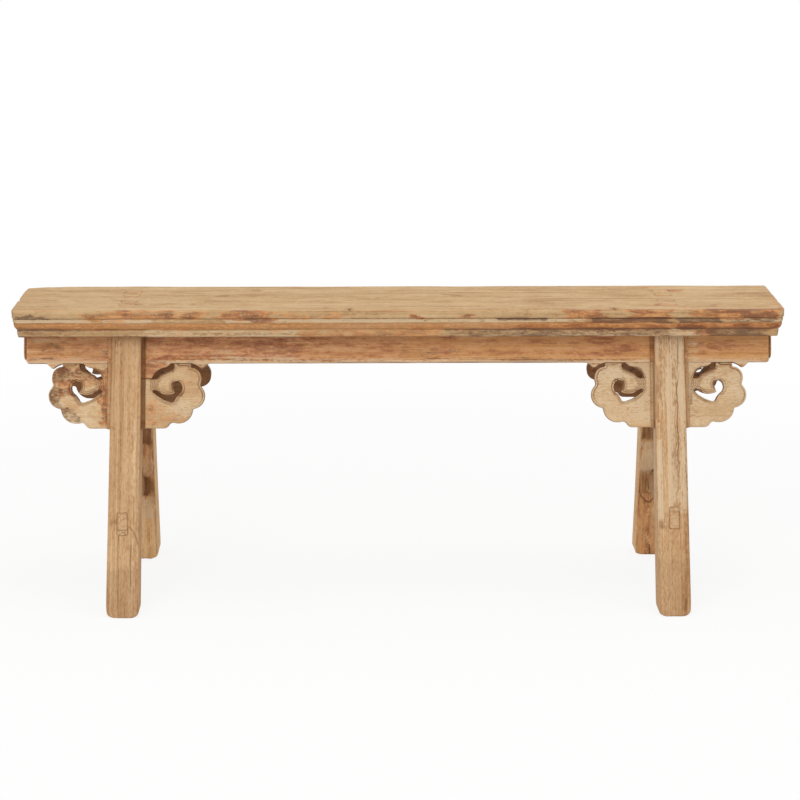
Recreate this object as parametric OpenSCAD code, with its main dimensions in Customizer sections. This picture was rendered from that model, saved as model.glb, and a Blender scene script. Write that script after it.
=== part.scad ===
// Narrow plank bench with recessed, splayed legs.
// Each leg is forked at the top. The fork straddles a long apron and a pierced cloud-head spandrel,
// and its two prongs go on up through the seat plank as tenons. X runs along the bench, the front
// faces -Y, Z is up, and the origin is on the floor under the middle of the seat. Millimetres.

/* [Seat plank] */
// Height of the seat above the floor
bench_h = 500; // [420:1:560]
// Length of the seat plank
seat_l = 1272; // [1000:1:1600]
// Depth of the seat plank, front to back
seat_d = 216; // [190:1:280]
// Thickness of the seat plank
seat_t = 46; // [46:1:60]

/* [Edge moulding] */
// Radius of the worn top edge
arris_r = 2.5; // [2:0.5:6]
// Height of the plain band under the top edge
band_h = 13; // [10:0.5:15]
// Depth of the V groove under the band
groove_d = 3; // [1.8:0.2:4]
// Height of the V groove
groove_h = 1.4; // [1:0.2:2]
// Setback of the narrow fillet behind the band
fillet_inset = 1.5; // [1:0.25:1.75]
// Height of the narrow fillet
fillet_h = 6.4; // [5:0.2:8]
// Height of the ovolo
ovolo_h = 12; // [10:0.5:14]
// How far the ovolo curves back
ovolo_run = 4.5; // [3:0.25:6]
// How far the ovolo swells beyond its chord
ovolo_swell = 1.6; // [1:0.1:2]
// Small step at each side of the ovolo
quirk = 0.8; // [0.5:0.1:1.2]
// How far the bottom fillet leans back towards its lower edge
bottom_lean = 2; // [0:0.25:3]

/* [Legs] */
// Distance from each seat end to the middle of a leg
leg_end_offset = 186; // [175:1:260]
// Setback of a leg's outer face from the seat edge, at the underside of the plank
leg_setback = 30; // [24:1:36]
// Splay of the legs, front to back, in degrees
splay = 14.8; // [8:0.1:17]
// How far a front foot stands outwards of its leg top, along the bench
front_leg_lean = 7.5; // [0:0.5:20]
// The same for a rear foot
rear_leg_lean = 4; // [0:0.5:20]
// Width of a leg under the seat
leg_w_top = 50; // [44:1:56]
// Width of a leg at the floor
leg_w_foot = 54.5; // [50:0.5:64]
// Depth of a leg, square to its outer face
leg_depth = 50; // [48:1:58]
// Width of the flat down the middle of the outer face
leg_flat = 20; // [14:1:30]
// How far the outer face falls away to its edges at the foot
leg_fall = 3; // [1:0.25:5]
// Rounding of the foot corners
foot_round = 9; // [4:0.5:14]

/* [Fork and seat tenons] */
// Thickness of the prong in front of the boards
front_prong = 15; // [12:0.5:17]
// Width of a seat tenon along the bench
seat_tenon_w = 26; // [20:1:34]
// Shoulder outside each seat tenon
seat_tenon_shoulder = 2; // [1:0.25:4]

/* [Aprons] */
// Thickness of the apron and spandrel boards
board_t = 17; // [14:0.5:18]
// Height of the aprons, along their slope
apron_h = 51; // [40:1:60]
// Distance from a seat end to the outer face of an end apron
apron_end_inset = 14; // [12:0.5:20]
// Thickness of an end apron
end_apron_t = 12; // [9:0.5:16]
// Thickness of the end apron's lip over the long aprons' ends
end_lip_t = 4; // [3:0.25:6]
// Height of the worn lower corners at the ends
end_round_h = 14; // [8:0.5:18]
// Width of the worn lower corners at the ends
end_round_w = 6; // [3:0.5:8]
// Depth of the pointed drops in the lower edge of the long aprons
drop_h = 9.3; // [5:0.1:12]
// Width of a pointed drop
drop_w = 28.5; // [22:0.5:32]

/* [Rebates beside the legs] */
// Width of the rebates in the boards' outer faces, from the sides of each leg
rebate_w = 6; // [3:0.5:8]
// Depth of these rebates
rebate_depth = 3; // [1:0.25:4]

/* [Cloud spandrels] */
// Reach of a cloud head from the side of the leg
cloud_reach = 103.5; // [90:0.5:112]
// Drop of a spandrel below the apron
cloud_drop = 108; // [95:0.5:120]

/* [Side stretchers] */
// Height of the stretchers' middle above the floor
stretcher_z = 150; // [120:1:200]
// How far a stretcher lies outwards of the middle of its legs
stretcher_offset = 3; // [0:0.5:5]
// Height of a stretcher
stretcher_h = 44; // [40:0.5:50]
// Width of a stretcher
stretcher_w = 28; // [24:0.5:32]
// Thickness of a stretcher's through tenon
stretcher_tenon_t = 17; // [12:0.5:20]
// Height of a stretcher's through tenon
stretcher_tenon_h = 28; // [22:0.5:30]
// How far the middle of a tenon lies above the middle of its stretcher
stretcher_tenon_rise = 5; // [0:0.5:5]
// Height of a wedge at the outer face of the leg
wedge_h = 7; // [5:0.25:9]
// Height of a wedge at its thin end
wedge_tip_h = 3; // [2:0.25:4]
// Length of a wedge
wedge_l = 40; // [25:1:44]

/* [Fit] */
// Clearance beside each tenon, board and wedge
fit = 0.2; // [0.1:0.05:0.3]

/* [Hidden] */
$fn = 64;

// Sides and ends of the bench
right = 1;
left = -1;
front = 1;
rear = -1;

// Derived sizes
under_seat = bench_h - seat_t;
leg_x = seat_l / 2 - leg_end_offset;
leg_y = seat_d / 2 - leg_setback;
board_back = front_prong + board_t;
slot_h = apron_h + cloud_drop;
apron_x = seat_l / 2 - apron_end_inset;
board_rise = front_prong * tan(splay);
apron_bottom_z = under_seat - apron_h * cos(splay);
long_apron_x = apron_x - end_lip_t;
middle_lean = (front_leg_lean + rear_leg_lean) / 2;
stretcher_x = leg_x + middle_lean * (under_seat - stretcher_z) / under_seat + stretcher_offset;
tenon_z = stretcher_z + stretcher_tenon_rise;

// How far a cut runs past what it cuts
over = 20;
// Overlap of two outlines that are drawn as one
bite = 1;
// How far a rebate reaches in under the edge of its leg
rebate_tuck = 1;
// Most degrees of an arc that one straight side stands for
arc_step = 12;

// Wood colours
seat_wood = [0.80, 0.68, 0.51];
apron_wood = [0.72, 0.49, 0.33];
leg_wood = [0.77, 0.60, 0.42];
spandrel_wood = [0.75, 0.58, 0.42];
stretcher_wood = [0.66, 0.47, 0.31];
wedge_wood = [0.62, 0.45, 0.30];

// Distance from the middle of the bench to a side's sloping plane, at height z
// and at a depth behind the legs' outer faces
function plane_y(z, depth) = leg_y + (under_seat - z) * tan(splay) - depth / cos(splay);

// How far the foot of a leg on the given side of the bench stands outwards of its top
function lean(face) = face == front ? front_leg_lean : rear_leg_lean;

// Front view of one side of the right leg: its distance from the middle of the bench at height z
function leg_side(face, turn, z) =
    let (down = (under_seat - z) / (under_seat - foot_round))
    leg_x + down * lean(face) + turn * (leg_w_top + down * (leg_w_foot - leg_w_top)) / 2;

// Sagitta of a quarter circle
function quarter_swell(radius) = radius * (1 - cos(45));

// Points of an arc from a up to, but without, b. Its middle stands swell outside the chord
// where the outline runs clockwise, and inside it for a swell below 0.
function arc_from(a, b, swell) =
    swell == 0 ? [a] :
    let (
        chord = norm(b - a),
        radius = (chord * chord / 4 + swell * swell) / (2 * abs(swell)),
        out = [a[1] - b[1], b[0] - a[0]] / chord,
        centre = (a + b) / 2 + out * (swell - sign(swell) * radius),
        turn = 2 * asin(min(1, chord / (2 * radius))),
        start = atan2(a[1] - centre[1], a[0] - centre[0]),
        steps = ceil(turn / arc_step)
    )
    [for (i = [0 : steps - 1])
        let (t = start - sign(swell) * turn * i / steps)
        centre + radius * [cos(t), sin(t)]];

// Closed outline from corners [x, y, swell], with the swell of the side that follows each corner
function outline(corners) = [
    for (i = [0 : len(corners) - 1])
        let (a = corners[i], b = corners[(i + 1) % len(corners)])
        each arc_from([a[0], a[1]], [b[0], b[1]], a[2])
];

// Corners of a right half, from top to bottom, followed by their mirror images
function both_halves(half) = concat(half, [
    for (i = [len(half) - 1 : -1 : 0])
        [-half[i][0], half[i][1], i == 0 ? 0 : half[i - 1][2]]
]);

// Stands what is drawn for the right front corner at any corner of the bench
module at_corner(side, face) {
    mirror([side == right ? 0 : 1, 0, 0])
        mirror([0, face == front ? 0 : 1, 0])
            children();
}

// Frame on the front legs' outer plane under the seat: z runs up the slope and y into the legs
module sloping_frame() {
    translate([0, -leg_y, under_seat])
        rotate([-splay, 0, 0])
            children();
}

// Frame on the boards' outer faces, with z = 0 where these faces meet the seat
module board_frame() {
    sloping_frame()
        translate([0, front_prong, board_rise])
            children();
}

// The legs' frame at the middle of the right leg, following its lean
module leg_frame(face) {
    sloping_frame()
        translate([leg_x, 0, 0])
            rotate([0, -atan(lean(face) * cos(splay) / under_seat), 0])
                children();
}

// Board or block whose outline is drawn in the X-Z plane, from y0 to y1
module along_y(y0, y1) {
    translate([0, y1, 0])
        rotate([90, 0, 0])
            linear_extrude(y1 - y0)
                children();
}

// Board or block whose outline is drawn in the Y-Z plane, from x0 to x1
module along_x(x0, x1) {
    translate([x0, 0, 0])
        rotate([90, 0, 90])
            linear_extrude(x1 - x0)
                children();
}

// Section across a plank of the given width, with the moulding on both its edges
function plank_section(width) =
    let (
        edge = width / 2,
        fillet_top = bench_h - band_h - groove_h,
        ovolo_top = fillet_top - fillet_h,
        ovolo_bottom = ovolo_top - ovolo_h,
        ovolo_x = edge - fillet_inset - quirk,
        bottom_x = ovolo_x - ovolo_run - quirk
    )
    both_halves([
        [edge - arris_r, bench_h, quarter_swell(arris_r)],
        [edge, bench_h - arris_r, 0],
        [edge, bench_h - band_h, 0],
        [edge - groove_d, bench_h - band_h - groove_h / 2, 0],
        [edge - fillet_inset, fillet_top, 0],
        [edge - fillet_inset, ovolo_top, 0],
        [ovolo_x, ovolo_top, ovolo_swell],
        [ovolo_x - ovolo_run, ovolo_bottom, 0],
        [bottom_x, ovolo_bottom, 0],
        [bottom_x - bottom_lean, under_seat, 0]
    ]);

// The two seat tenons of the right leg, grown by clear on each side for their mortises
module seat_tenons(face, clear) {
    root = 5;
    rise = seat_t / cos(splay) + leg_depth * tan(splay) + over;
    front_tenon = [seat_tenon_shoulder, front_prong - fit];
    rear_tenon = [board_back + fit, leg_depth - seat_tenon_shoulder];
    leg_frame(face)
        for (span = [front_tenon, rear_tenon])
            translate([-seat_tenon_w / 2 - clear, span[0] - clear, -root])
                cube([seat_tenon_w + 2 * clear, span[1] - span[0] + 2 * clear, root + rise]);
}

module seat_board() {
    color(seat_wood)
        difference() {
            intersection() {
                along_x(-seat_l / 2 - over, seat_l / 2 + over)
                    polygon(outline(plank_section(seat_d)));
                along_y(-seat_d / 2 - over, seat_d / 2 + over)
                    polygon(outline(plank_section(seat_l)));
            }
            for (side = [left, right], face = [front, rear])
                at_corner(side, face)
                    seat_tenons(face, fit);
        }
}

// Front view of all the aprons, which ends under the seat and keeps what hangs below them
module aprons_view() {
    corner_swell = 1.5;
    polygon(outline(both_halves([
        [apron_x, under_seat, 0],
        [apron_x, apron_bottom_z + end_round_h, corner_swell],
        [apron_x - end_round_w, apron_bottom_z, 0],
        [apron_x - end_round_w, apron_bottom_z - cloud_drop, 0]
    ])));
}

// A corner of a cloud head, measured on the board from the side of the leg and from the apron.
// The drawn head reaches 103.5 and drops 108.
function cloud(x, y, swell) =
    let (across = cloud_reach / 103.5, down = cloud_drop / 108)
    [leg_w_top / 2 + x * across, -apron_h - y * down, swell * (across + down) / 2];

// Inner and outer side of the stem that hangs each head from the apron, in the drawn head
stem = [52.3, 80.8];

// Upper side of the channel over the scroll, from the neck to the apron's lower edge
channel_roof = [
    cloud(15.6, 25.2, 4.3),
    cloud(39.2, 6.4, -0.8),
    cloud(46.6, 0, 0)
];

// Pointed drop in the apron's lower edge beside a cloud head
module pointed_drop() {
    start = cloud(stem[1], 0, 0)[0];
    tip_share = 0.64;
    inner_swell = -1.2;
    polygon(outline([
        [start, -apron_h + bite, 0],
        [start + drop_w, -apron_h + bite, 0],
        [start + drop_w, -apron_h, 0],
        [start + drop_w * tip_share, -apron_h - drop_h, inner_swell],
        [start, -apron_h, 0]
    ]));
}

// Cheek of the apron between the leg and the channel, drawn from the middle of the leg
module cheek() {
    neck = channel_roof[0];
    stem_side = channel_roof[2];
    polygon(outline(concat(
        [[0, -apron_h + bite, 0], [0, neck[1], 0]],
        channel_roof,
        [[stem_side[0], -apron_h + bite, 0]]
    )));
}

// Rebates in the boards' outer faces, one on each side of the right leg
module leg_rebates(face) {
    top = under_seat + over;
    bottom = apron_bottom_z - cloud_drop - over;
    intersection() {
        along_y(-seat_d, 0)
            for (turn = [left, right])
                polygon([
                    [leg_side(face, turn, top) - turn * rebate_tuck, top],
                    [leg_side(face, turn, top) + turn * rebate_w, top],
                    [leg_side(face, turn, bottom) + turn * rebate_w, bottom],
                    [leg_side(face, turn, bottom) - turn * rebate_tuck, bottom]
                ]);
        board_frame()
            translate([0, -over, -slot_h - over])
                cube([seat_l, over + rebate_depth, slot_h + 3 * over]);
    }
}

// Long apron in the legs' slots. A cheeked one has a cheek beside its left leg.
module long_apron(face, cheeked = false) {
    color(apron_wood)
        at_corner(right, face)
            difference() {
                intersection() {
                    board_frame() {
                        along_y(0, board_t)
                            translate([-long_apron_x, -apron_h])
                                square([2 * long_apron_x, apron_h + over]);
                        for (side = [left, right], turn = [0, 1])
                            translate([side * leg_x, 0, 0])
                                mirror([turn, 0, 0])
                                    along_y(0, board_t)
                                        pointed_drop();
                        if (cheeked)
                            translate([-leg_x, 0, 0])
                                along_y(0, board_t)
                                    cheek();
                    }
                    along_y(-seat_d, 0)
                        aprons_view();
                }
                for (side = [left, right])
                    at_corner(side, front)
                        leg_rebates(face);
            }
}

// End view of what lies between the two sides' planes at a depth, as high as the aprons
module end_panel(depth) {
    top = plane_y(under_seat, depth);
    bottom = plane_y(apron_bottom_z, depth);
    polygon([[-top, under_seat], [top, under_seat], [bottom, apron_bottom_z], [-bottom, apron_bottom_z]]);
}

// End apron, whose lip covers the long aprons' ends and whose back fits between them
module end_apron(side) {
    color(apron_wood)
        at_corner(side, front)
            intersection() {
                union() {
                    along_x(long_apron_x, apron_x)
                        end_panel(front_prong);
                    along_x(apron_x - end_apron_t, long_apron_x)
                        end_panel(board_back + fit);
                }
                along_y(-seat_d, seat_d)
                    aprons_view();
            }
}

// Half outline of a spandrel with its lobes, from the stem's top to the foot beside the leg
spandrel_half = [
    cloud(stem[1], 0, 0),
    cloud(stem[1], 9.7, 8.3),
    cloud(96, 35.6, 0),
    cloud(97, 38.3, 12.3),
    cloud(84.4, 75.6, 0),
    cloud(83.2, 77.5, 9.5),
    cloud(51, 98.5, -0.8),
    cloud(44.1, 101.5, 2.2),
    cloud(33, 108, 0)
];

// Channel between the apron and the scroll
module upper_channel() {
    polygon(outline(concat(channel_roof, [
        cloud(46.6, -bite, 0),
        cloud(stem[0], -bite, 0),
        cloud(stem[0], 8.4, 0),
        cloud(33, 17.2, -1.3),
        cloud(24.6, 25.6, 0)
    ])));
}

// Channel under the scroll, which ends in the eye of the cloud
module lower_channel() {
    polygon(outline([
        cloud(16.5, 45.5, 0),
        cloud(22.1, 44.7, -5.2),
        cloud(55.1, 49.4, 0.9),
        cloud(50.6, 35, 2.8),
        cloud(60.4, 30.6, 6),
        cloud(60, 51.3, -0.8),
        cloud(52.3, 63.8, 0.6),
        cloud(45, 63.9, 2.6)
    ]));
}

// One board with two pierced cloud heads, which passes through the leg's slot under the apron
module cloud_spandrel(side, face, cheeked = false) {
    color(spandrel_wood)
        at_corner(side, face)
            difference() {
                board_frame()
                    translate([leg_x, 0, 0])
                        along_y(0, board_t)
                            difference() {
                                polygon(outline(both_halves(spandrel_half)));
                                for (turn = [0, 1])
                                    mirror([turn, 0]) {
                                        upper_channel();
                                        lower_channel();
                                    }
                                if (cheeked)
                                    mirror([1, 0])
                                        cheek();
                            }
                leg_rebates(face);
            }
}

// Outer face and sides of a leg before it is tapered, looking down its length
module leg_section() {
    half = leg_w_foot / 2 + over;
    fall = leg_fall * (half - leg_flat / 2) / (leg_w_foot / 2 - leg_flat / 2);
    polygon([
        [-leg_flat / 2, 0], [leg_flat / 2, 0],
        [half, fall], [half, leg_depth],
        [-half, leg_depth], [-half, fall]
    ]);
}

// Front view of the right leg, tapered and with its foot's corners rounded
module leg_view(face) {
    foot_x = leg_x + lean(face);
    flat_side = leg_w_foot / 2 - foot_round;
    swell = quarter_swell(foot_round);
    polygon(outline([
        [leg_side(face, left, under_seat), under_seat, 0],
        [leg_side(face, right, under_seat), under_seat, 0],
        [leg_side(face, right, foot_round), foot_round, swell],
        [foot_x + flat_side, 0, 0],
        [foot_x - flat_side, 0, swell],
        [leg_side(face, left, foot_round), foot_round, 0]
    ]));
}

// Height of the wedge at a distance in from the leg's outer face
function wedge_height(inward) = wedge_h - (wedge_h - wedge_tip_h) * inward / wedge_l;

// Tapered outline beyond a tenon's face, from one distance in from the outer face to another.
// grow widens it away from the tenon. It lies over the tenon on the right and under it on the left.
module wedge_outline(side, from, to, grow) {
    face_y = -plane_y(tenon_z, 0);
    edge_z = tenon_z + side * stretcher_tenon_h / 2;
    polygon([
        [face_y + from, edge_z],
        [face_y + to, edge_z],
        [face_y + to, edge_z + side * (wedge_height(to) + grow)],
        [face_y + from, edge_z + side * (wedge_height(from) + grow)]
    ]);
}

// Through mortise for a stretcher's tenon and its wedge
module stretcher_mortise(side) {
    half_t = stretcher_tenon_t / 2 + fit;
    half_h = stretcher_tenon_h / 2 + fit;
    face_y = -plane_y(tenon_z, 0);
    through = leg_depth / cos(splay) + over;
    along_x(stretcher_x - half_t, stretcher_x + half_t) {
        translate([face_y - over, tenon_z - half_h])
            square([over + through, 2 * half_h]);
        wedge_outline(side, -over, through, fit);
    }
}

module leg(side, face) {
    length = under_seat / cos(splay) + over;
    color(leg_wood)
        at_corner(side, face)
            difference() {
                union() {
                    intersection() {
                        leg_frame(face)
                            translate([0, 0, -length])
                                linear_extrude(length + over)
                                    leg_section();
                        along_y(-seat_d - length, 0)
                            leg_view(face);
                    }
                    intersection() {
                        seat_tenons(face, 0);
                        translate([0, -seat_d, 0])
                            cube([seat_l, seat_d, bench_h]);
                    }
                }
                sloping_frame()
                    translate([leg_x - leg_w_foot, front_prong - fit, board_rise - slot_h - fit])
                        cube([2 * leg_w_foot, board_t + 2 * fit, slot_h + seat_t + 2 * over]);
                stretcher_mortise(side);
            }
}

// Side stretcher with a rounded body between the legs and a through tenon at each end
module side_stretcher(side) {
    round_z = (stretcher_h - stretcher_w) / 2;
    color(stretcher_wood)
        at_corner(side, front) {
            along_x(stretcher_x - stretcher_tenon_t / 2, stretcher_x + stretcher_tenon_t / 2)
                between_planes(0, tenon_z, stretcher_tenon_h);
            intersection() {
                along_y(-seat_d, seat_d)
                    translate([stretcher_x, stretcher_z]) {
                        square([stretcher_w, 2 * round_z], center = true);
                        for (z = [-round_z, round_z])
                            translate([0, z])
                                circle(d = stretcher_w);
                    }
                along_x(stretcher_x - stretcher_w, stretcher_x + stretcher_w)
                    between_planes(leg_depth, stretcher_z, stretcher_h);
            }
        }
}

// End view of a length between the two sides' planes at a depth, with its middle at z
module between_planes(depth, z, height) {
    top = z + height / 2;
    bottom = z - height / 2;
    polygon([
        [-plane_y(top, depth), top], [plane_y(top, depth), top],
        [plane_y(bottom, depth), bottom], [-plane_y(bottom, depth), bottom]
    ]);
}

// Wedge beside a stretcher's tenon, trimmed flush with the leg's outer face
module wedge(side, face) {
    color(wedge_wood)
        at_corner(side, face)
            intersection() {
                along_x(stretcher_x - stretcher_tenon_t / 2, stretcher_x + stretcher_tenon_t / 2)
                    wedge_outline(side, -over, wedge_l, 0);
                sloping_frame()
                    translate([0, 0, -under_seat - over])
                        cube([seat_l, leg_depth, under_seat]);
            }
}

seat_board();
long_apron(front, cheeked = true);  // apron_front
long_apron(rear);  // apron_rear
end_apron(left);  // end_apron_left
end_apron(right);  // end_apron_right
leg(left, front);  // leg_front_left
leg(right, front);  // leg_front_right
leg(left, rear);  // leg_rear_left
leg(right, rear);  // leg_rear_right
cloud_spandrel(left, front, cheeked = true);  // cloud_spandrel_front_left
cloud_spandrel(right, front);  // cloud_spandrel_front_right
cloud_spandrel(left, rear);  // cloud_spandrel_rear_left
cloud_spandrel(right, rear);  // cloud_spandrel_rear_right
side_stretcher(left);  // side_stretcher_left
side_stretcher(right);  // side_stretcher_right
wedge(left, front);  // wedge_front_left
wedge(right, front);  // wedge_front_right
wedge(left, rear);  // wedge_rear_left
wedge(right, rear);  // wedge_rear_right
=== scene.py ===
import math
from collections import Counter

import bpy
import numpy as np
from mathutils import Matrix, Vector
from mathutils.kdtree import KDTree


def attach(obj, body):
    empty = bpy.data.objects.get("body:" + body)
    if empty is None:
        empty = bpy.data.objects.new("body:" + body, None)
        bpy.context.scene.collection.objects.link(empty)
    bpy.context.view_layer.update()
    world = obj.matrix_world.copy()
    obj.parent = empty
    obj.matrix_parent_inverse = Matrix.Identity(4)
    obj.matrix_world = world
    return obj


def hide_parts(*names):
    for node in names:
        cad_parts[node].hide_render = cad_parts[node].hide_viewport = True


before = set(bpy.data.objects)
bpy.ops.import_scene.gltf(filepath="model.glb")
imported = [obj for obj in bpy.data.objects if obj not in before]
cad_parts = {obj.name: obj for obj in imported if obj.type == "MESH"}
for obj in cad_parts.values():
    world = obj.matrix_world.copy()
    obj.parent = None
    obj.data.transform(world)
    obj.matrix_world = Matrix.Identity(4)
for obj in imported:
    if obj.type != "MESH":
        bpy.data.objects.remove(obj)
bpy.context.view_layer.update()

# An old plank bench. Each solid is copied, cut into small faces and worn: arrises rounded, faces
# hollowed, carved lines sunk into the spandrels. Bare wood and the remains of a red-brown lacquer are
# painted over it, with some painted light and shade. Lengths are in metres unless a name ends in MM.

MM = 0.001

# Sizes of the joined frame
BENCH_H = 0.5
UNDER_SEAT = 0.454
SEAT_HALF_L = 0.636
SEAT_HALF_D = 0.108
ARRIS = 0.0025
SPLAY = math.radians(14.8)
LEG_X = 0.45
LEG_Y = 0.078
FRONT_LEG_LEAN = 0.0075
REAR_LEG_LEAN = 0.004
LEG_HALF_TOP = 0.025
LEG_HALF_FOOT = 0.02725
FRONT_PRONG = 0.015
BOARD_RISE = 0.00396
APRON_H = 0.051
REBATE_W = 0.006
SEAT_TENON_HALF = 0.0132
SEAT_TENON_DEPTHS = (0.0018, 0.015, 0.032, 0.0482)
# Heights of the moulding's strips, each from low to high
BAND = (0.4875, 0.4985)
FILLET = (0.4797, 0.486)
OVOLO = (0.468, 0.4785)
LOW_FILLET = (0.454, 0.467)
# Steps of the grid on the seat's top, whose every second span crosses mortises
X_STEPS = (48, 8, 250, 8, 48)
Y_STEPS = (12, 4, 5, 5, 8, 5, 5, 4, 12)
# How far apart the grain of one piece lies from the next one's, so that no two look alike
GRAIN_APART = 5
SEAT_GRAIN = (3, 0, 0)


def leg_middle(z, y):
    """Distance of a leg's middle from the bench's middle at a height, in front or at the rear."""
    lean = np.where(np.asarray(y) < 0, FRONT_LEG_LEAN, REAR_LEG_LEAN)
    return LEG_X + lean * (UNDER_SEAT - z) / UNDER_SEAT


def leg_half(z):
    """Half of a leg's width at a height."""
    return LEG_HALF_TOP + (LEG_HALF_FOOT - LEG_HALF_TOP) * (UNDER_SEAT - z) / UNDER_SEAT


def behind_legs_face(co):
    """Depth of points behind the plane of the legs' outer faces."""
    return (LEG_Y + (UNDER_SEAT - co[:, 2]) * math.tan(SPLAY) - abs(co[:, 1])) * math.cos(SPLAY)


def down_the_slope(co):
    """How far points lie below the top of the tilted boards, measured on their faces."""
    drop = (UNDER_SEAT - co[:, 2]) * math.cos(SPLAY)
    return drop + (abs(co[:, 1]) - LEG_Y) * math.sin(SPLAY) + BOARD_RISE


# Noise and soft edges
def lattice(cell, seed):
    """A fixed number from 0 to 1 for each cell of a grid."""
    mixed = cell @ (374761393, 668265263, 362437) + seed * 9737
    mixed = ((mixed ^ (mixed >> 13)) * 1274126177) & 0xFFFFFFFF
    return ((mixed ^ (mixed >> 16)) & 0xFFFF) / 0xFFFF


def noise(points, waves, seed, octaves=1):
    """Smooth noise from about -1 to 1, with so many waves per metre along each axis."""
    total = 0
    for octave in range(octaves):
        place = points * np.array(waves) * 2**octave + 31.7 * seed
        cell = np.floor(place).astype(np.int64)
        share = place - cell
        share = share * share * (3 - 2 * share)
        for corner in np.ndindex(2, 2, 2):
            near = np.prod(np.where(corner, share, 1 - share), axis=-1)
            total = total + near * (2 * lattice(cell + corner, seed + octave) - 1) / 2**octave
    return total


def rise(value, low, high):
    """0 below low, 1 above high, and smooth between."""
    share = np.clip((value - low) / (high - low), 0, 1)
    return share * share * (3 - 2 * share)


def between(value, low, high, soft):
    """1 from low to high, fading to 0 over soft outside them."""
    return rise(value, low - soft, low) * (1 - rise(value, high, high + soft))


def line(distance, at, width):
    """A soft line of that width where a distance has a value."""
    return np.exp(-(((distance - at) / width) ** 2))


def cover(points, base, swing, waves, seed, most=None, least=0):
    """Noise that swings about base, kept from least to most."""
    return np.clip(base + swing * noise(points, waves, seed, 2), least, most)


def patches(a, b, areas, soft_a=12, soft_b=2.2, seed=50, waves=(0.026, 0.15)):
    """Ragged patches in MM, each given as a from, a to, b from, b to, strength."""
    place = np.stack([a * waves[0], b * waves[1], np.zeros(len(a))], axis=1)
    a = a + 0.9 * soft_a * noise(place, (1, 1, 1), seed, 2)
    b = b + 0.7 * soft_b * noise(place, (1.6, 1.3, 1), seed + 1, 2)
    total = np.zeros(len(a))
    for a0, a1, b0, b1, strength in areas:
        total = np.maximum(total, strength * between(a, a0, a1, soft_a) * between(b, b0, b1, soft_b))
    return total * (0.95 + 0.4 * noise(place, (2, 1.7, 1), seed + 2, 2))


def strokes(a, b, marks):
    """Soft lines in MM, each given as a, b of its start, a, b of its end, width and strength."""
    total = np.zeros(len(a))
    for a0, b0, a1, b1, width, strength in marks:
        share = ((a - a0) * (a1 - a0) + (b - b0) * (b1 - b0)) / math.hypot(a1 - a0, b1 - b0) ** 2
        share = np.clip(share, 0, 1)
        away = np.hypot(a - a0 - share * (a1 - a0), b - b0 - share * (b1 - b0))
        total = np.maximum(total, strength * line(away, 0, width))
    return total


# Mesh tools
def placed(name, data):
    """A new object with that data, in the scene."""
    piece = bpy.data.objects.new(name, data)
    bpy.context.scene.collection.objects.link(piece)
    return piece


def points_of(mesh, field="co"):
    """The points of a mesh, or their normals."""
    values = np.zeros(len(mesh.vertices) * 3)
    mesh.vertices.foreach_get(field, values)
    return values.reshape(-1, 3)


def move_points(mesh, co):
    mesh.vertices.foreach_set("co", co.ravel())
    mesh.update()


def sunk(co, normals, depth):
    """Points moved in from the surface by a depth in MM."""
    return co - normals * (depth * MM)[:, None]


def grain_place(along, across, through, seed):
    """Where points lie on the grain's own axes, far from those of the other pieces."""
    return np.stack([along, across, through], axis=1) + (GRAIN_APART * seed, 0, 0)


def eased(mesh, rounds, hold=None):
    """Eases a mesh's edges, except where hold is 1, and gives its points and normals."""
    co = points_of(mesh)
    edges = np.zeros(len(mesh.edges) * 2, np.int64)
    mesh.edges.foreach_get("vertices", edges)
    a, b = edges.reshape(-1, 2).T
    count = len(co)
    neighbours = np.bincount(a, minlength=count) + np.bincount(b, minlength=count)
    share = 0.5 if hold is None else 0.5 * (1 - hold)[:, None]
    for _ in range(rounds):
        total = np.stack([
            np.bincount(a, co[b, axis], count) + np.bincount(b, co[a, axis], count)
            for axis in range(3)
        ], axis=1)
        co = co + share * (total / neighbours[:, None] - co)
    move_points(mesh, co)
    return co, points_of(mesh, "normal")


def fine_copy(node, turn, grain_size):
    """A copy of a solid in even faces of that size, laid out in line with its own turned axes."""
    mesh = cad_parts[node].data.copy()
    mesh.transform(turn.inverted())
    piece = placed("worn_" + node, mesh)
    grid = piece.modifiers.new("even faces", "REMESH")
    grid.mode = "VOXEL"
    grid.voxel_size = grain_size
    done = piece.evaluated_get(bpy.context.evaluated_depsgraph_get())
    piece.data = bpy.data.meshes.new_from_object(done)
    piece.modifiers.clear()
    piece.data.transform(turn)
    return piece


def paint(piece, grain, lacquer, grime_and_shade, bleach_and_light, brown_and_shade, stained=None):
    """Keeps on the mesh the grain's own axes, and how far lacquer, grime, bleaching and browning cover
    each point, painted light and shade among them.
    """
    mesh = piece.data
    finish = np.clip(np.stack([lacquer, grime_and_shade, bleach_and_light, brown_and_shade], axis=1), 0, 1)
    layers = [("grain", "FLOAT_VECTOR", "vector", grain), ("finish", "FLOAT_COLOR", "color", finish)]
    if stained is not None:
        layers.append(("stain", "FLOAT", "value", np.clip(stained, 0, 1)))
    for name, kind, field, values in layers:
        mesh.attributes.new(name, kind, "POINT").data.foreach_set(field, values.ravel())
    mesh.polygons.foreach_set("use_smooth", np.ones(len(mesh.polygons), bool))


def finished(piece, node, material):
    """Puts the material on a piece and stands it in for its solid."""
    piece.data.materials.clear()
    piece.data.materials.append(material)
    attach(piece, "root")
    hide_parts(node)


# Seat plank
def arc(start, end, swell, steps):
    """Points after start up to end, bulging by swell to the left of the way."""
    a, b = np.array(start), np.array(end)
    side = np.array([a[1] - b[1], b[0] - a[0]]) / np.linalg.norm(b - a)
    shares = np.linspace(0, 1, steps + 1)[1:]
    return [tuple(a + (b - a) * t + side * swell * 4 * t * (1 - t)) for t in shares]


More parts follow.
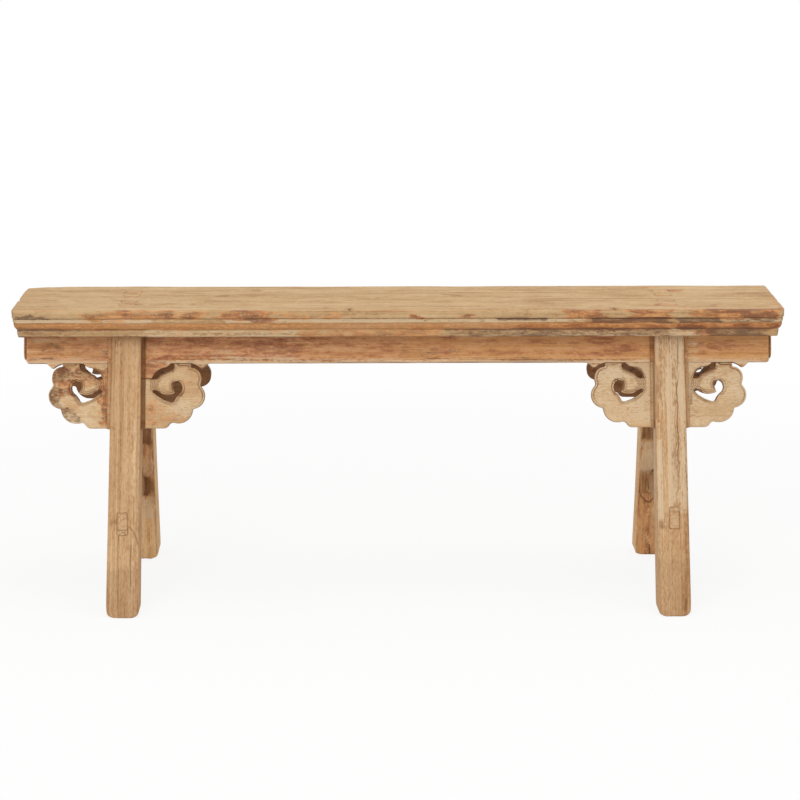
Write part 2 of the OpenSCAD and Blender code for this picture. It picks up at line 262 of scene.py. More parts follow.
def moulding():
    """Section of the moulded edge: how far out from the seat's outer face, and how high."""
    section = [(-ARRIS / MM, 500)]
    for end, swell, steps in [
        ((0, 500 - ARRIS / MM), 0.73, 5), ((0, 487.3), 0, 6), ((-0.4, 486.9), 0, 1), ((-3, 486.3), 0, 2),
        ((-2, 485.8), 0, 1), ((-1.5, 485.3), 0, 1), ((-1.5, 479.7), 0, 4), ((-1.9, 479.2), 0, 1),
        ((-2.9, 479.1), 0, 1), ((-6.8, 467.6), 1.6, 9), ((-8.2, 467.1), 0, 1), ((-7.9, 466.4), 0, 1),
        ((-9.2, 455), 0.3, 7), ((-10, 454), 0, 1),
    ]:
        section += arc(section[-1], end, swell, steps)
    return np.array(section) * MM


def stations(keys, counts):
    """Places from key to key, each span cut into its count of even steps."""
    places = [np.linspace(a, b, n, endpoint=False) for a, b, n in zip(keys, keys[1:], counts)]
    return np.concatenate(places + [keys[-1:]])


def seat_grid(z, inset):
    """Lines of the grid on the seat's top or underside, which follow the mortises there."""
    middle = (leg_middle(z, -1) + leg_middle(z, 1)) / 2
    outer_face = LEG_Y + (UNDER_SEAT - z) * math.tan(SPLAY)
    sides = [outer_face - depth / math.cos(SPLAY) for depth in reversed(SEAT_TENON_DEPTHS)]
    x_half = [middle - SEAT_TENON_HALF, middle + SEAT_TENON_HALF, SEAT_HALF_L - inset]
    y_half = sides + [SEAT_HALF_D - inset]
    return [
        stations([-place for place in reversed(half)] + half, steps)
        for half, steps in ((x_half, X_STEPS), (y_half, Y_STEPS))
    ]


def seat_mesh():
    """The plank as one closed mesh: top, moulding all round, underside and eight through mortises."""
    section = moulding()
    top_x, top_y = seat_grid(BENCH_H, ARRIS)
    low_x, low_y = seat_grid(UNDER_SEAT, -section[-1][0])
    across, deep = len(top_x), len(top_y)
    rim_i, rim_j = np.array(
        [(k, 0) for k in range(across - 1)] + [(across - 1, k) for k in range(deep - 1)]
        + [(k, deep - 1) for k in range(across - 1, 0, -1)] + [(0, k) for k in range(deep - 1, 0, -1)]
    ).T

    def level(x, y, z):
        return np.stack(np.broadcast_arrays(x, y, z), axis=-1).reshape(-1, 3)

    top, low = level(top_x[:, None], top_y, BENCH_H), level(low_x[:, None], low_y, UNDER_SEAT)
    top_rim, low_rim = [
        np.stack([xs[rim_i] / xs[-1], ys[rim_j] / ys[-1]]) for xs, ys in ((top_x, top_y), (low_x, low_y))
    ]
    rings = []
    for step, (reach, height) in enumerate(section[1:-1], 1):
        share = step / (len(section) - 1)
        unit_x, unit_y = (1 - share) * top_rim + share * low_rim
        rings.append(level(unit_x * (SEAT_HALF_L + reach), unit_y * (SEAT_HALF_D + reach), height))
    co = np.concatenate([top, *rings, low])

    in_x, in_y = [np.repeat(np.arange(len(steps)) % 2, steps) for steps in (X_STEPS, Y_STEPS)]
    mortised = np.outer(in_x, in_y) > 0
    low_start = len(co) - len(low)

    def at(i0, j0):
        return i0 * deep + j0

    faces = []
    for i0 in range(across - 1):
        for j0 in range(deep - 1):
            if mortised[i0, j0]:
                for (i1, j1), a, b in (
                    ((i0 - 1, j0), (i0, j0 + 1), (i0, j0)), ((i0 + 1, j0), (i0 + 1, j0), (i0 + 1, j0 + 1)),
                    ((i0, j0 - 1), (i0, j0), (i0 + 1, j0)), ((i0, j0 + 1), (i0 + 1, j0 + 1), (i0, j0 + 1)),
                ):
                    if not mortised[i1, j1]:
                        faces.append((at(*a), at(*b), low_start + at(*b), low_start + at(*a)))
                continue
            corners = [at(i0, j0), at(i0 + 1, j0), at(i0 + 1, j0 + 1), at(i0, j0 + 1)]
            faces.append(corners)
            faces.append([low_start + corner for corner in reversed(corners)])
    levels = [at(rim_i, rim_j)]
    levels += [len(top) + k * len(rim_i) + np.arange(len(rim_i)) for k in range(len(rings))]
    levels += [low_start + at(rim_i, rim_j)]
    for upper, lower in zip(levels, levels[1:]):
        upper_next, lower_next = np.roll(upper, -1), np.roll(lower, -1)
        faces += list(zip(upper, lower, lower_next, upper_next))
    mesh = bpy.data.meshes.new("seat_plank")
    mesh.from_pydata(co, [], [[int(k) for k in face] for face in faces])
    mesh.update()
    return mesh


# Nicks along the seat's upper arrises: x, side, length, depth, in MM but for the side
SEAT_NICKS = [
    (-586, 1, 30, 1.6), (-541, -1, 9, 1), (-447, -1, 12, 1.2), (-318, -1, 7, 0.9), (-205, -1, 15, 0.8),
    (-80, -1, 6, 1), (36, -1, 18, 0.7), (176, -1, 8, 1.3), (252, -1, 14, 0.9), (365, -1, 6, 1.4),
    (470, -1, 16, 1), (556, -1, 7, 1.2), (613, -1, 12, 1.6), (-612, -1, 14, 1.4),
]
# Nicks in the seat's ends: y, side, length, depth
END_NICKS = [
    (-7, -1, 20, 3.2), (-93, -1, 12, 1), (-34, 1, 20, 1.2), (40, 1, 9, 0.6),
]


def round_plan_corner(co, x_side, y_side, radius):
    """Wears one upright corner of the plank round, seen from above."""
    sides, middle = np.array((x_side, y_side)), np.array((SEAT_HALF_L, SEAT_HALF_D)) - radius
    over = sides * co[:, :2] - middle
    there = (over > 0).all(axis=1)
    over = over[there]
    shrink = over.max(axis=1) / np.hypot(*over.T)
    co[there, :2] = sides * (middle + over * shrink[:, None])


def seat_plank():
    mesh = seat_mesh()
    piece = placed("worn_seat_board", mesh)
    co = points_of(mesh)
    at_rest = co.copy()
    normals = points_of(mesh, "normal")
    x, y, z = at_rest.T
    x_mm, y_mm, z_mm = at_rest.T / MM
    on_top = rise(normals[:, 2], 0.3, 0.9) * rise(z, 0.49, 0.4995)
    to_side, to_end = SEAT_HALF_D - abs(y), SEAT_HALF_L - abs(x)
    side = np.where(to_side < to_end, np.sign(y), 0)
    end_side = np.where(to_side < to_end, 0, np.sign(x))
    from_edge = np.minimum(to_side, to_end)

    hollow = 0.3 + 0.22 * noise(at_rest, (4, 14, 4), 1) + 0.12 * noise(at_rest, (11, 60, 11), 2)
    hollow = hollow + 0.75 * between(x, -0.25, 0.27, 0.22) * rise(y, 0, 0.1)
    scraped = 0.12 * abs(noise(at_rest, (16, 240, 60), 3))
    depth = on_top * np.clip(hollow + scraped, 0.05, None) * (1 - 0.8 * rise(abs(x), 0.55, 0.63))
    moulded = 1 - on_top
    depth += moulded * (0.12 + 0.14 * noise(at_rest, (22, 22, 90), 4, 2))
    arris = between(z, 0.4945, 0.501, 0.003) * (1 - rise(from_edge, 0.002, 0.008))
    depth += arris * cover(at_rest, 0.25, 0.6, (13, 13, 5), 5)
    for corner_z, seed in ((0.4872, 6), (0.4794, 7), (0.4663, 8)):
        chipped = cover(at_rest, -0.1, 1, (34, 34, 10), seed)
        depth += line(z, corner_z, 0.0011) * (0.18 + 1.1 * chipped) * moulded
    nicks = [(x_mm, side, nick) for nick in SEAT_NICKS] + [(y_mm, end_side, nick) for nick in END_NICKS]
    for place, its_side, (at, at_side, length, deep) in nicks:
        along = (place - at) / (length / 2)
        nick = np.exp(-along**2 * 1.6) * (its_side == at_side) * (1 - rise(from_edge, 0.001, 0.007))
        depth += nick * deep * between(z, 0.4915, 0.501, 0.003)
    crack = strokes(x_mm, y_mm, TOP_CRACKS) * on_top
    depth += 0.4 * crack
    co = sunk(co, normals, np.clip(depth, 0, 4.5))
    near_mortise = np.zeros(len(co))
    beside = abs(abs(x) - leg_middle(z, y)) - SEAT_TENON_HALF
    d = behind_legs_face(at_rest)
    for near, far in (SEAT_TENON_DEPTHS[:2], SEAT_TENON_DEPTHS[2:]):
        beyond = np.maximum(near - d, d - far) / math.cos(SPLAY)
        near_mortise = np.maximum(near_mortise, 1 - rise(np.maximum(beside, beyond), 0, 0.004))
    # The upper arrises of the ends and the rear are less worn than the front one
    near_top = rise(z, 0.49, 0.4975)
    co[:, 0] += 0.0019 * np.sign(x) * rise(abs(x), 0.6, 0.633) * near_top
    co[:, 0] = np.clip(co[:, 0], -SEAT_HALF_L, SEAT_HALF_L)
    co[:, 1] += 0.0015 * rise(y, 0.098, 0.105) * near_top
    for x_side, y_side, radius in ((-1, -1, 0.015), (1, -1, 0.013), (1, 1, 0.003)):
        round_plan_corner(co, x_side, y_side, radius)
    # The rear left corner is worn away on a slant, most at the top
    gone = (0.35 + 0.65 * rise(z, 0.476, 0.496)) * rise(y, -0.02, 0.108)
    co[:, 1] -= gone * 0.018 * np.clip((-x - 0.582) / 0.054, 0, 1) ** 1.3
    co[:, 0] += gone * 0.003 * np.clip((y - 0.06) / 0.048, 0, 1) ** 1.6 * (x < -0.6)
    co[:, 2] = np.clip(co[:, 2], UNDER_SEAT, BENCH_H)
    move_points(mesh, co)

    front = (y < 0) & (from_edge < 0.012)
    lacquer = front * patches(x_mm, z_mm, SEAT_LACQUER, 14, 3.6)
    grime_and_shade = front * patches(x_mm, z_mm, SEAT_GRIME, seed=53)
    bleach_and_light = front * patches(x_mm, z_mm, SEAT_PALE, seed=56)
    round_sides = moulded * ~front * rise(z, 0.456, 0.458)
    lacquer += round_sides * cover(at_rest, 0.42, 0.5, (7, 7, 60), 11, 0.9)
    grime_and_shade += round_sides * cover(at_rest, 0.2, 0.5, (9, 9, 60), 12, 0.8)
    band, fillet = between(z, *BAND, 0.002), between(z, *FILLET, 0.001)
    ovolo, low_fillet = between(z, *OVOLO, 0.001), between(z, *LOW_FILLET, 0.001)
    lacquer += moulded * (0.16 * ovolo + 0.16 * band + 0.28 * low_fillet + 0.14 * fillet)
    stained = moulded * ovolo * cover(at_rest, 0.95, 0.3, (9, 9, 5), 17, 1)
    # Darker lines along the inner corners of the moulding's steps
    grooves = (0.35 + 0.3 * rise(x, 0, 0.2)) * line(z, 0.4863, 0.0008)
    grooves += 0.3 * line(z, 0.4789, 0.0007) + 0.5 * line(z, 0.4671, 0.0008)
    grime_and_shade += moulded * grooves * cover(at_rest, 0.9, 0.5, (12, 12, 5), 15, 1.3, 0.2)
    bleach_and_light += moulded * (0.3 * between(z, 0.4797, 0.4852, 0.0006) + 0.5 * line(z, 0.4553, 0.0012))
    grime_and_shade += front * strokes(x_mm, z_mm, SEAT_SCRATCHES)
    marks = on_top * patches(x_mm, y_mm, TOP_MARKS, 5, 4, 59, (0.09, 0.16))
    grime_and_shade += on_top * 0.16 * near_mortise + 0.3 * marks + 0.4 * crack
    lacquer += on_top * patches(x_mm, y_mm, TOP_LACQUER, 6, 4, 62, (0.09, 0.16))
    lacquer += on_top * 0.34 * rise(-y, 0.086, 0.104) * cover(at_rest, 1, 1, (14, 60, 5), 16, 1.6)
    bleach_and_light += on_top * (0.15 + 0.2 * noise(at_rest, (5, 20, 5), 13))
    underside = 1 - rise(z, 0.4545, 0.456)
    grime_and_shade += underside * (0.35 + 0.25 * noise(at_rest, (5, 12, 5), 14))
    brown_and_shade = 0.25 * rise(abs(normals[:, 0]), 0.6, 0.9) + 0.5 * underside + 0.5 * marks + 0.6 * crack
    paint(piece, at_rest + SEAT_GRAIN, lacquer, grime_and_shade, bleach_and_light, brown_and_shade, stained)
    finished(piece, "seat_board", SEAT_WOOD)


# Where finishes are left, in MM from the bench's middle and above the floor. On the front of the
# seat's moulding: x from, x to, z from, z to, strength
SEAT_LACQUER = [
    (-514, -448, 483, 494, 0.5), (-480, -366, 486, 499, 0.5), (-428, -382, 487, 497, 0.6),
    (-350, -325, 487, 496, 0.54), (-289, -207, 486, 498, 0.56), (-180, -150, 487, 496, 0.45),
    (-128, -95, 487, 495, 0.4), (28, 34, 488, 493, 0.62), (108, 113, 488, 492, 0.62),
    (274, 332, 487, 498, 0.66), (386, 447, 486, 499, 0.74), (491, 523, 487, 497, 0.55),
    (523, 619, 486, 499, 0.72), (-234, -202, 478, 485, 0.6), (315, 434, 479, 486, 0.55),
    (-600, -440, 467, 479, 0.26), (-440, -180, 467, 474, 0.3), (-180, 33, 467, 479, 0.22),
    (20, 118, 467, 474, 0.4), (118, 190, 467, 476, 0.27), (190, 436, 467, 475, 0.55),
    (463, 622, 467, 476, 0.68), (-160, 70, 454, 465, 0.29), (497, 520, 455, 467, 0.55),
]
SEAT_GRIME = [
    (-630, -580, 483.5, 492, 0.36), (-575, -480, 485, 491, 0.19), (175, 235, 483.5, 487.5, 0.7),
    (315, 440, 479, 486, 0.85), (463, 530, 479, 486, 0.85), (553, 620, 479.5, 484, 0.6),
    (-628, -555, 466.5, 471, 0.47), (-555, -472, 466.5, 470, 0.28), (190, 440, 466, 470, 0.45),
    (-626, -555, 454, 467, 0.55), (-555, -424, 454, 467, 0.36), (85, 444, 456, 467, 0.6),
    (520, 607, 454, 467, 0.75), (463, 620, 466.5, 470, 0.62),
]
SEAT_PALE = [
    (-627, -514, 479.5, 485, 0.7), (-480, -407, 479.2, 485.5, 0.75), (-284, 36, 479.2, 485.5, 0.65),
    (36, 310, 479.2, 485.5, 0.35), (553, 620, 481.5, 485.5, 0.4), (-424, -161, 454, 466, 0.6),
    (85, 444, 453.8, 456, 0.7), (447, 496, 454, 466, 0.65), (438, 463, 463, 479, 0.35),
    (-250, 240, 488, 499, 0.2), (450, 491, 487, 499, 0.25),
]
# Dark scratches at the left end of the moulding: x, z of the start, x, z of the end, width, strength
SEAT_SCRATCHES = [
    (-624, 487, -602, 494.5, 1, 0.9), (-612, 488, -590, 498.5, 0.9, 0.8),
    (-629, 490.5, -606, 489, 0.9, 0.8), (-604, 490, -580, 488.5, 0.9, 0.6),
]
# Dark marks and orange remnants on the seat's top: x from, x to, y from, y to, strength
TOP_MARKS = [
    (-448, -428, -58, -50, 0.8), (-466, -444, 44, 54, 0.7), (-382, -364, 52, 60, 0.6),
    (-345, -338, -56, -46, 0.8), (-305, -288, 14, 24, 0.7), (-246, -234, 66, 78, 0.9),
    (-82, -77, -104, -90, 0.9), (353, 359, -104, -88, 1), (521, 528, -75, -62, 0.8),
    (-560, -470, 55, 78, 0.2), (96, 106, 14, 24, 0.7), (455, 485, 54, 66, 0.5),
]
TOP_LACQUER = [
    (428, 460, -70, -54, 0.72), (456, 486, 50, 70, 0.65), (422, 450, 82, 100, 0.45),
    (-460, -430, -60, -40, 0.45),
]
# Fine cracks in the seat's top: x, y of the start, x, y of the end, width, strength
TOP_CRACKS = [
    (-596, -14, -572, -16, 4, 0.8), (-545, -12, -532, -30, 3.5, 0.5), (-474, -14, -456, -15, 4.2, 0.8),
    (-455, -44, -436, -46, 4, 0.7), (-358, 46, -330, 44, 3.6, 0.6), (-300, 20, -272, 18, 3.6, 0.6),
    (222, -7, 392, -4, 3.6, 0.75), (392, -4, 574, -11, 3.2, 0.5), (76, 36, 100, 26, 3.6, 0.8),
    (100, 48, 128, 50, 3.4, 0.8), (140, 12, 222, -7, 3.2, 0.5), (400, 86, 428, 86, 4, 0.7),
    (430, 62, 470, 60, 4, 0.6), (-80, -104, -80, -86, 1.6, 1), (356, -106, 356, -84, 1.6, 1),
]


# Lacquer, dirt and bleached wood on the front apron: x from, x to, z from, z to, strength
APRON_LACQUER = [
    (-616, -474, 400, 453.5, 0.53), (-612, -478, 445, 453.5, 0.73), (-419, -161, 415, 452, 0.72),
    (-161, 94, 412, 452, 0.56), (100, 400, 434, 442, 0.58), (100, 400, 418.5, 426.5, 0.56),
    (316, 366, 436, 448, 0.68), (290, 335, 415, 430, 0.64), (341, 382, 419, 434, 0.68),
    (94, 415, 410, 452, 0.26), (506, 580, 444, 453.5, 0.44), (504, 560, 426.5, 440, 0.68),
    (504, 539, 416.5, 426.5, 0.64), (560, 596, 424.5, 434, 0.6), (481, 613, 410, 452, 0.2),
    (395, 420, 410, 452, 0.36), (-430, -385, 383, 415, 0.62), (100, 420, 412, 452, 0.34),
]
APRON_GRIME = [
    (-593, -557, 424.6, 438.3, 0.44), (-532, -483, 414.7, 424.6, 0.44), (-387, -362, 448, 453.5, 0.41),
    (-419, -395, 430, 452, 0.34), (7, 102, 411, 426.5, 0.41), (94, 283, 407, 413, 0.41),
    (-161, 7, 411, 424, 0.2), (-606, -576, 411.5, 413.5, 0.54), (504, 560, 428, 440, 0.2),
    (316, 382, 419, 448, 0.17), (-428, -392, 384, 404, 0.3),
]
APRON_PALE = [
    (-601, -540, 438.3, 444.2, 0.7), (-537, -507, 438.3, 444.2, 0.7), (-616, -474, 405.5, 413, 0.7),
    (-343, -326, 416.7, 426.5, 0.6), (-306, -268, 413, 426.5, 0.65), (-260, -150, 406, 418, 0.6),
    (-219, -161, 438, 448, 0.5), (-150, 90, 430, 443, 0.36), (-420, 415, 404, 411, 0.55),
    (492.6, 511, 428.5, 438, 0.6), (570, 612, 406, 450, 0.3), (481, 613, 404, 411, 0.5),
]
APRON_STAIN = [
    (20, 420, 412, 453.5, 0.68), (505, 615, 411, 453.5, 0.6), (-161, 20, 414, 453.5, 0.34),
    (-616, -478, 413, 440, 0.3),
]


# Frame pieces
def board_turn(y_side):
    """Turn of the boards and legs of one long side, as they splay."""
    return Matrix.Rotation(y_side * SPLAY, 4, "X")


def beside_legs(co, outer_face):
    """Cover of the rebates beside the legs on the boards' outer faces, and how brown each stretch is:
    dark brown on the left legs' inner side, partly dirt and partly painted shade; on the right legs'
    inner side a light brown with a painted contact shadow next to the leg; browner low down.
    """
    x, y, z = co.T
    out = abs(x) - leg_middle(z, y)
    beside = abs(out) - leg_half(z)
    strip = outer_face * between(beside, -0.0015, REBATE_W - 0.0006, 0.0007)
    inner_brown_and_shade = np.where(x < 0, 0.84, 0.12 + 0.55 * (1 - rise(beside, 0.0014, 0.0028)))
    rebate_brown_and_shade = np.where(out < 0, inner_brown_and_shade, 0)
    return strip, rebate_brown_and_shade + 0.3 * rise(-z, -0.318, -0.306)


def long_apron(node, y_side, seed):
    piece = fine_copy(node, board_turn(y_side), 1.5 * MM)
    mesh = piece.data
    rough = points_of(mesh)
    on_board = 1 - rise(abs(abs(rough[:, 0]) - LEG_X) - LEG_HALF_TOP, 0.075, 0.085)
    at_seam = between(down_the_slope(rough), APRON_H - 0.006, APRON_H + 0.002, 0.002)
    co, normals = eased(mesh, 3, 0.85 * on_board * at_seam)
    x, z = co[:, 0], co[:, 2]
    v, d = down_the_slope(co), behind_legs_face(co) - FRONT_PRONG
    grain = grain_place(x, v, d, seed)
    outer = 1 - rise(d, 0.0035, 0.006)
    depth = 0.14 + 0.14 * noise(grain, (6, 40, 40), seed, 2)
    depth += 0.1 * abs(noise(grain, (22, 300, 300), seed + 1))
    lower = rise(v, 0.045, 0.0515) * (1 - rise(v, 0.0535, 0.055)) * (1 - 0.9 * on_board)
    depth += outer * lower * cover(grain, 0.35, 0.8, (24, 24, 24), seed + 2)
    strip, rebate_brown_and_shade = beside_legs(co, outer)
    depth -= 2.4 * strip * (abs(x) > LEG_X) * (y_side < 0) * rise(d, 0.001, 0.0025)
    move_points(mesh, sunk(co, normals, depth))
    stained = None
    if y_side < 0:
        lacquer, grime_and_shade, bleach_and_light, stained = [
            outer * patches(x / MM, z / MM, areas, seed=edge_seed)
            for areas, edge_seed in (
                (APRON_LACQUER, 65), (APRON_GRIME, 68), (APRON_PALE, 71), (APRON_STAIN, 87),
            )
        ]
    else:
        lacquer = outer * cover(grain, 0.5, 0.45, (5, 40, 40), seed + 3, 0.9)
        grime_and_shade = outer * cover(grain, 0.15, 0.5, (6, 50, 50), seed + 4, 0.7)
        bleach_and_light = outer * cover(grain, 0.25, 0.5, (6, 60, 60), seed + 5, 0.6)
    ragged = 0.0012 * noise(grain, (30, 30, 30), seed + 6, 3)
    low_edge = outer * rise(v + ragged, 0.0472, 0.05) * (1 - rise(v, 0.0625, 0.066))
    low_edge *= 1 - between(x, -0.43, -0.388, 0.008) * (y_side < 0)
    lacquer = lacquer * (1 - strip) * (1 - 0.7 * low_edge) + 0.4 * strip * (abs(x) > LEG_X)
    bleach_and_light = (bleach_and_light + 0.55 * low_edge) * (1 - strip)
    # A painted shadow line along the apron's top, under the seat's overhang
    shade_under_seat = outer * (1 - rise(v, 0, 0.003))
    under = rise(-normals[:, 2], 0.6, 0.95)
    grime_and_shade = grime_and_shade * (1 - strip) + 0.35 * shade_under_seat
    end = rise(abs(normals[:, 0]), 0.7, 0.95) * rise(abs(x), 0.6, 0.61)
    # The inner faces are browned, partly stain and partly painted shade; faces turned down are browned too
    brown_and_shade = rebate_brown_and_shade * strip + 0.45 * under + 0.8 * (1 - outer) + 0.25 * end
    paint(piece, grain, lacquer, grime_and_shade, bleach_and_light, brown_and_shade, stained)
    finished(piece, node, APRON_WOOD)


def end_apron(node, x_side, seed):
    piece = fine_copy(node, Matrix.Identity(4), 1.6 * MM)
    mesh = piece.data
    co, normals = eased(mesh, 4)
    x, y, z = co.T
    grain = grain_place(y, UNDER_SEAT - z, x_side * x, seed)
    depth = 0.18 + 0.18 * noise(grain, (6, 40, 40), seed, 2)
    move_points(mesh, sunk(co, normals, depth))
    outer = rise(x_side * normals[:, 0], 0.5, 0.9)
    lacquer = outer * cover(grain, 0.5, 0.45, (6, 40, 40), seed + 3, 0.9)
    grime_and_shade = outer * cover(grain, 0.15, 0.5, (8, 60, 60), seed + 4, 0.7)
    bleach_and_light = outer * cover(grain, 0.2, 0.5, (7, 70, 70), seed + 5, 0.6)
    end = rise(abs(normals[:, 1]), 0.7, 0.95)
    # The inner face is browned, partly stain and partly painted shade, and the end grain is darker
    paint(piece, grain, lacquer, grime_and_shade, bleach_and_light, np.maximum(0.3 * end, 0.7 * (1 - outer) * (1 - end)))
    finished(piece, node, APRON_WOOD)


def edge_points(node, face_normal, spacing):
    """Points along the outline of a board's outer face, taken from its solid."""
    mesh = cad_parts[node].data
    edges = Counter()
    for polygon in mesh.polygons:
        if np.dot(polygon.normal, face_normal) > 0.999:
            corners = [tuple(np.round(mesh.vertices[k].co, 6)) for k in polygon.vertices]
            edges.update(tuple(sorted(pair)) for pair in zip(corners, corners[1:] + corners[:1]))
    points = []
    for (a, b), times in edges.items():
        if times == 1:
            a, b = np.array(a), np.array(b)
            steps = max(1, int(np.linalg.norm(b - a) / spacing))
            points += [a + (b - a) * k / steps for k in range(steps)]
    return np.array(points)


def nearest(points, co):
    """Distance of each of co to the nearest of points."""
    tree = KDTree(len(points))
    for k, point in enumerate(points):
        tree.insert(point, k)
    tree.balance()
    return np.array([tree.find(place)[2] for place in co])


def cloud_place(co):
    """Place on a cloud head: from the side of the leg, and down from the apron's lower edge, in MM."""
    u = (abs(abs(co[:, 0]) - LEG_X) - LEG_HALF_TOP) / MM
    v = (down_the_slope(co) - APRON_H) / MM
    return u, v


# On a cloud head, in MM: where it starts beside the leg, how far its channels reach across and down,
# and the bud's middle, radius and ring width
NECK_U = 7.5
CHANNELS_U = 62
CHANNELS_V = 66
BUD_U = 26
BUD_V = 35.3
BUD_R = 5.2
BUD_RING = 2.9
# How much shorter than drawn each cloud head was cut: across, down beside the leg, down at its far end
INNER_HEADS_CUT = {"cloud_spandrel_rear_right": (0.055, 0.1, 0.15)}
OUTER_HEADS_CUT = {
    "cloud_spandrel_rear_left": (0.03, 0.02, 0.02), "cloud_spandrel_rear_right": (0.05, 0.14, 0.14),
    "cloud_spandrel_front_left": (-0.024, 0, 0), "cloud_spandrel_front_right": (-0.016, 0, 0),
}
# Dirt and old lacquer on the front left spandrel: from and to across, from and to down in MM, strength.
# The dark patch at the head's far upper part is dirt and painted shade together.
OLD_HEAD_GRIME_AND_SHADE = [
    (72, 96, 12, 30, 0.5), (84, 100, 44, 80, 0.5), (58, 80, 76, 96, 0.55), (24, 66, 12, 26, 0.4),
    (46, 60, 36, 60, 0.3),
]
OLD_HEAD_LACQUER = [
    (62, 84, 28, 52, 0.75), (0, 17, 12, 100, 0.7), (25, 60, 12, 36, 0.5), (70, 96, 12, 34, 0.55),
    (50, 74, 60, 80, 0.4),
]


def reshape_heads(co, node, y_side):
    """Draws in the cloud heads that were cut shorter, and lifts the upper lobe of each."""
    out = abs(co[:, 0]) - leg_middle(co[:, 2], co[:, 1])
    beyond = abs(out) - leg_half(co[:, 2])
    below = np.clip(down_the_slope(co) - APRON_H, 0, None)
    for heads, there in ((INNER_HEADS_CUT, out < 0), (OUTER_HEADS_CUT, out > 0)):
        across, near_leg, at_end = heads.get(node, (0, 0, 0))
        clear = there * rise(beyond, 0, 0.0015)
        co[:, 0] -= np.sign(co[:, 0] * out) * clear * across * np.clip(beyond, 0, None)
        lift = clear * (near_leg + (at_end - near_leg) * rise(beyond, 0.03, 0.08)) * below
        u, v = beyond / MM, below / MM
        high = 5 if node == "cloud_spandrel_front_left" and heads is OUTER_HEADS_CUT else 3
        lift += clear * high * MM * rise(u, 58, 78) * (1 - rise(v, 15, 42)) * rise(v, 3, 11)
        co[:, 1] -= y_side * lift * math.sin(SPLAY)
        co[:, 2] += lift * math.cos(SPLAY)


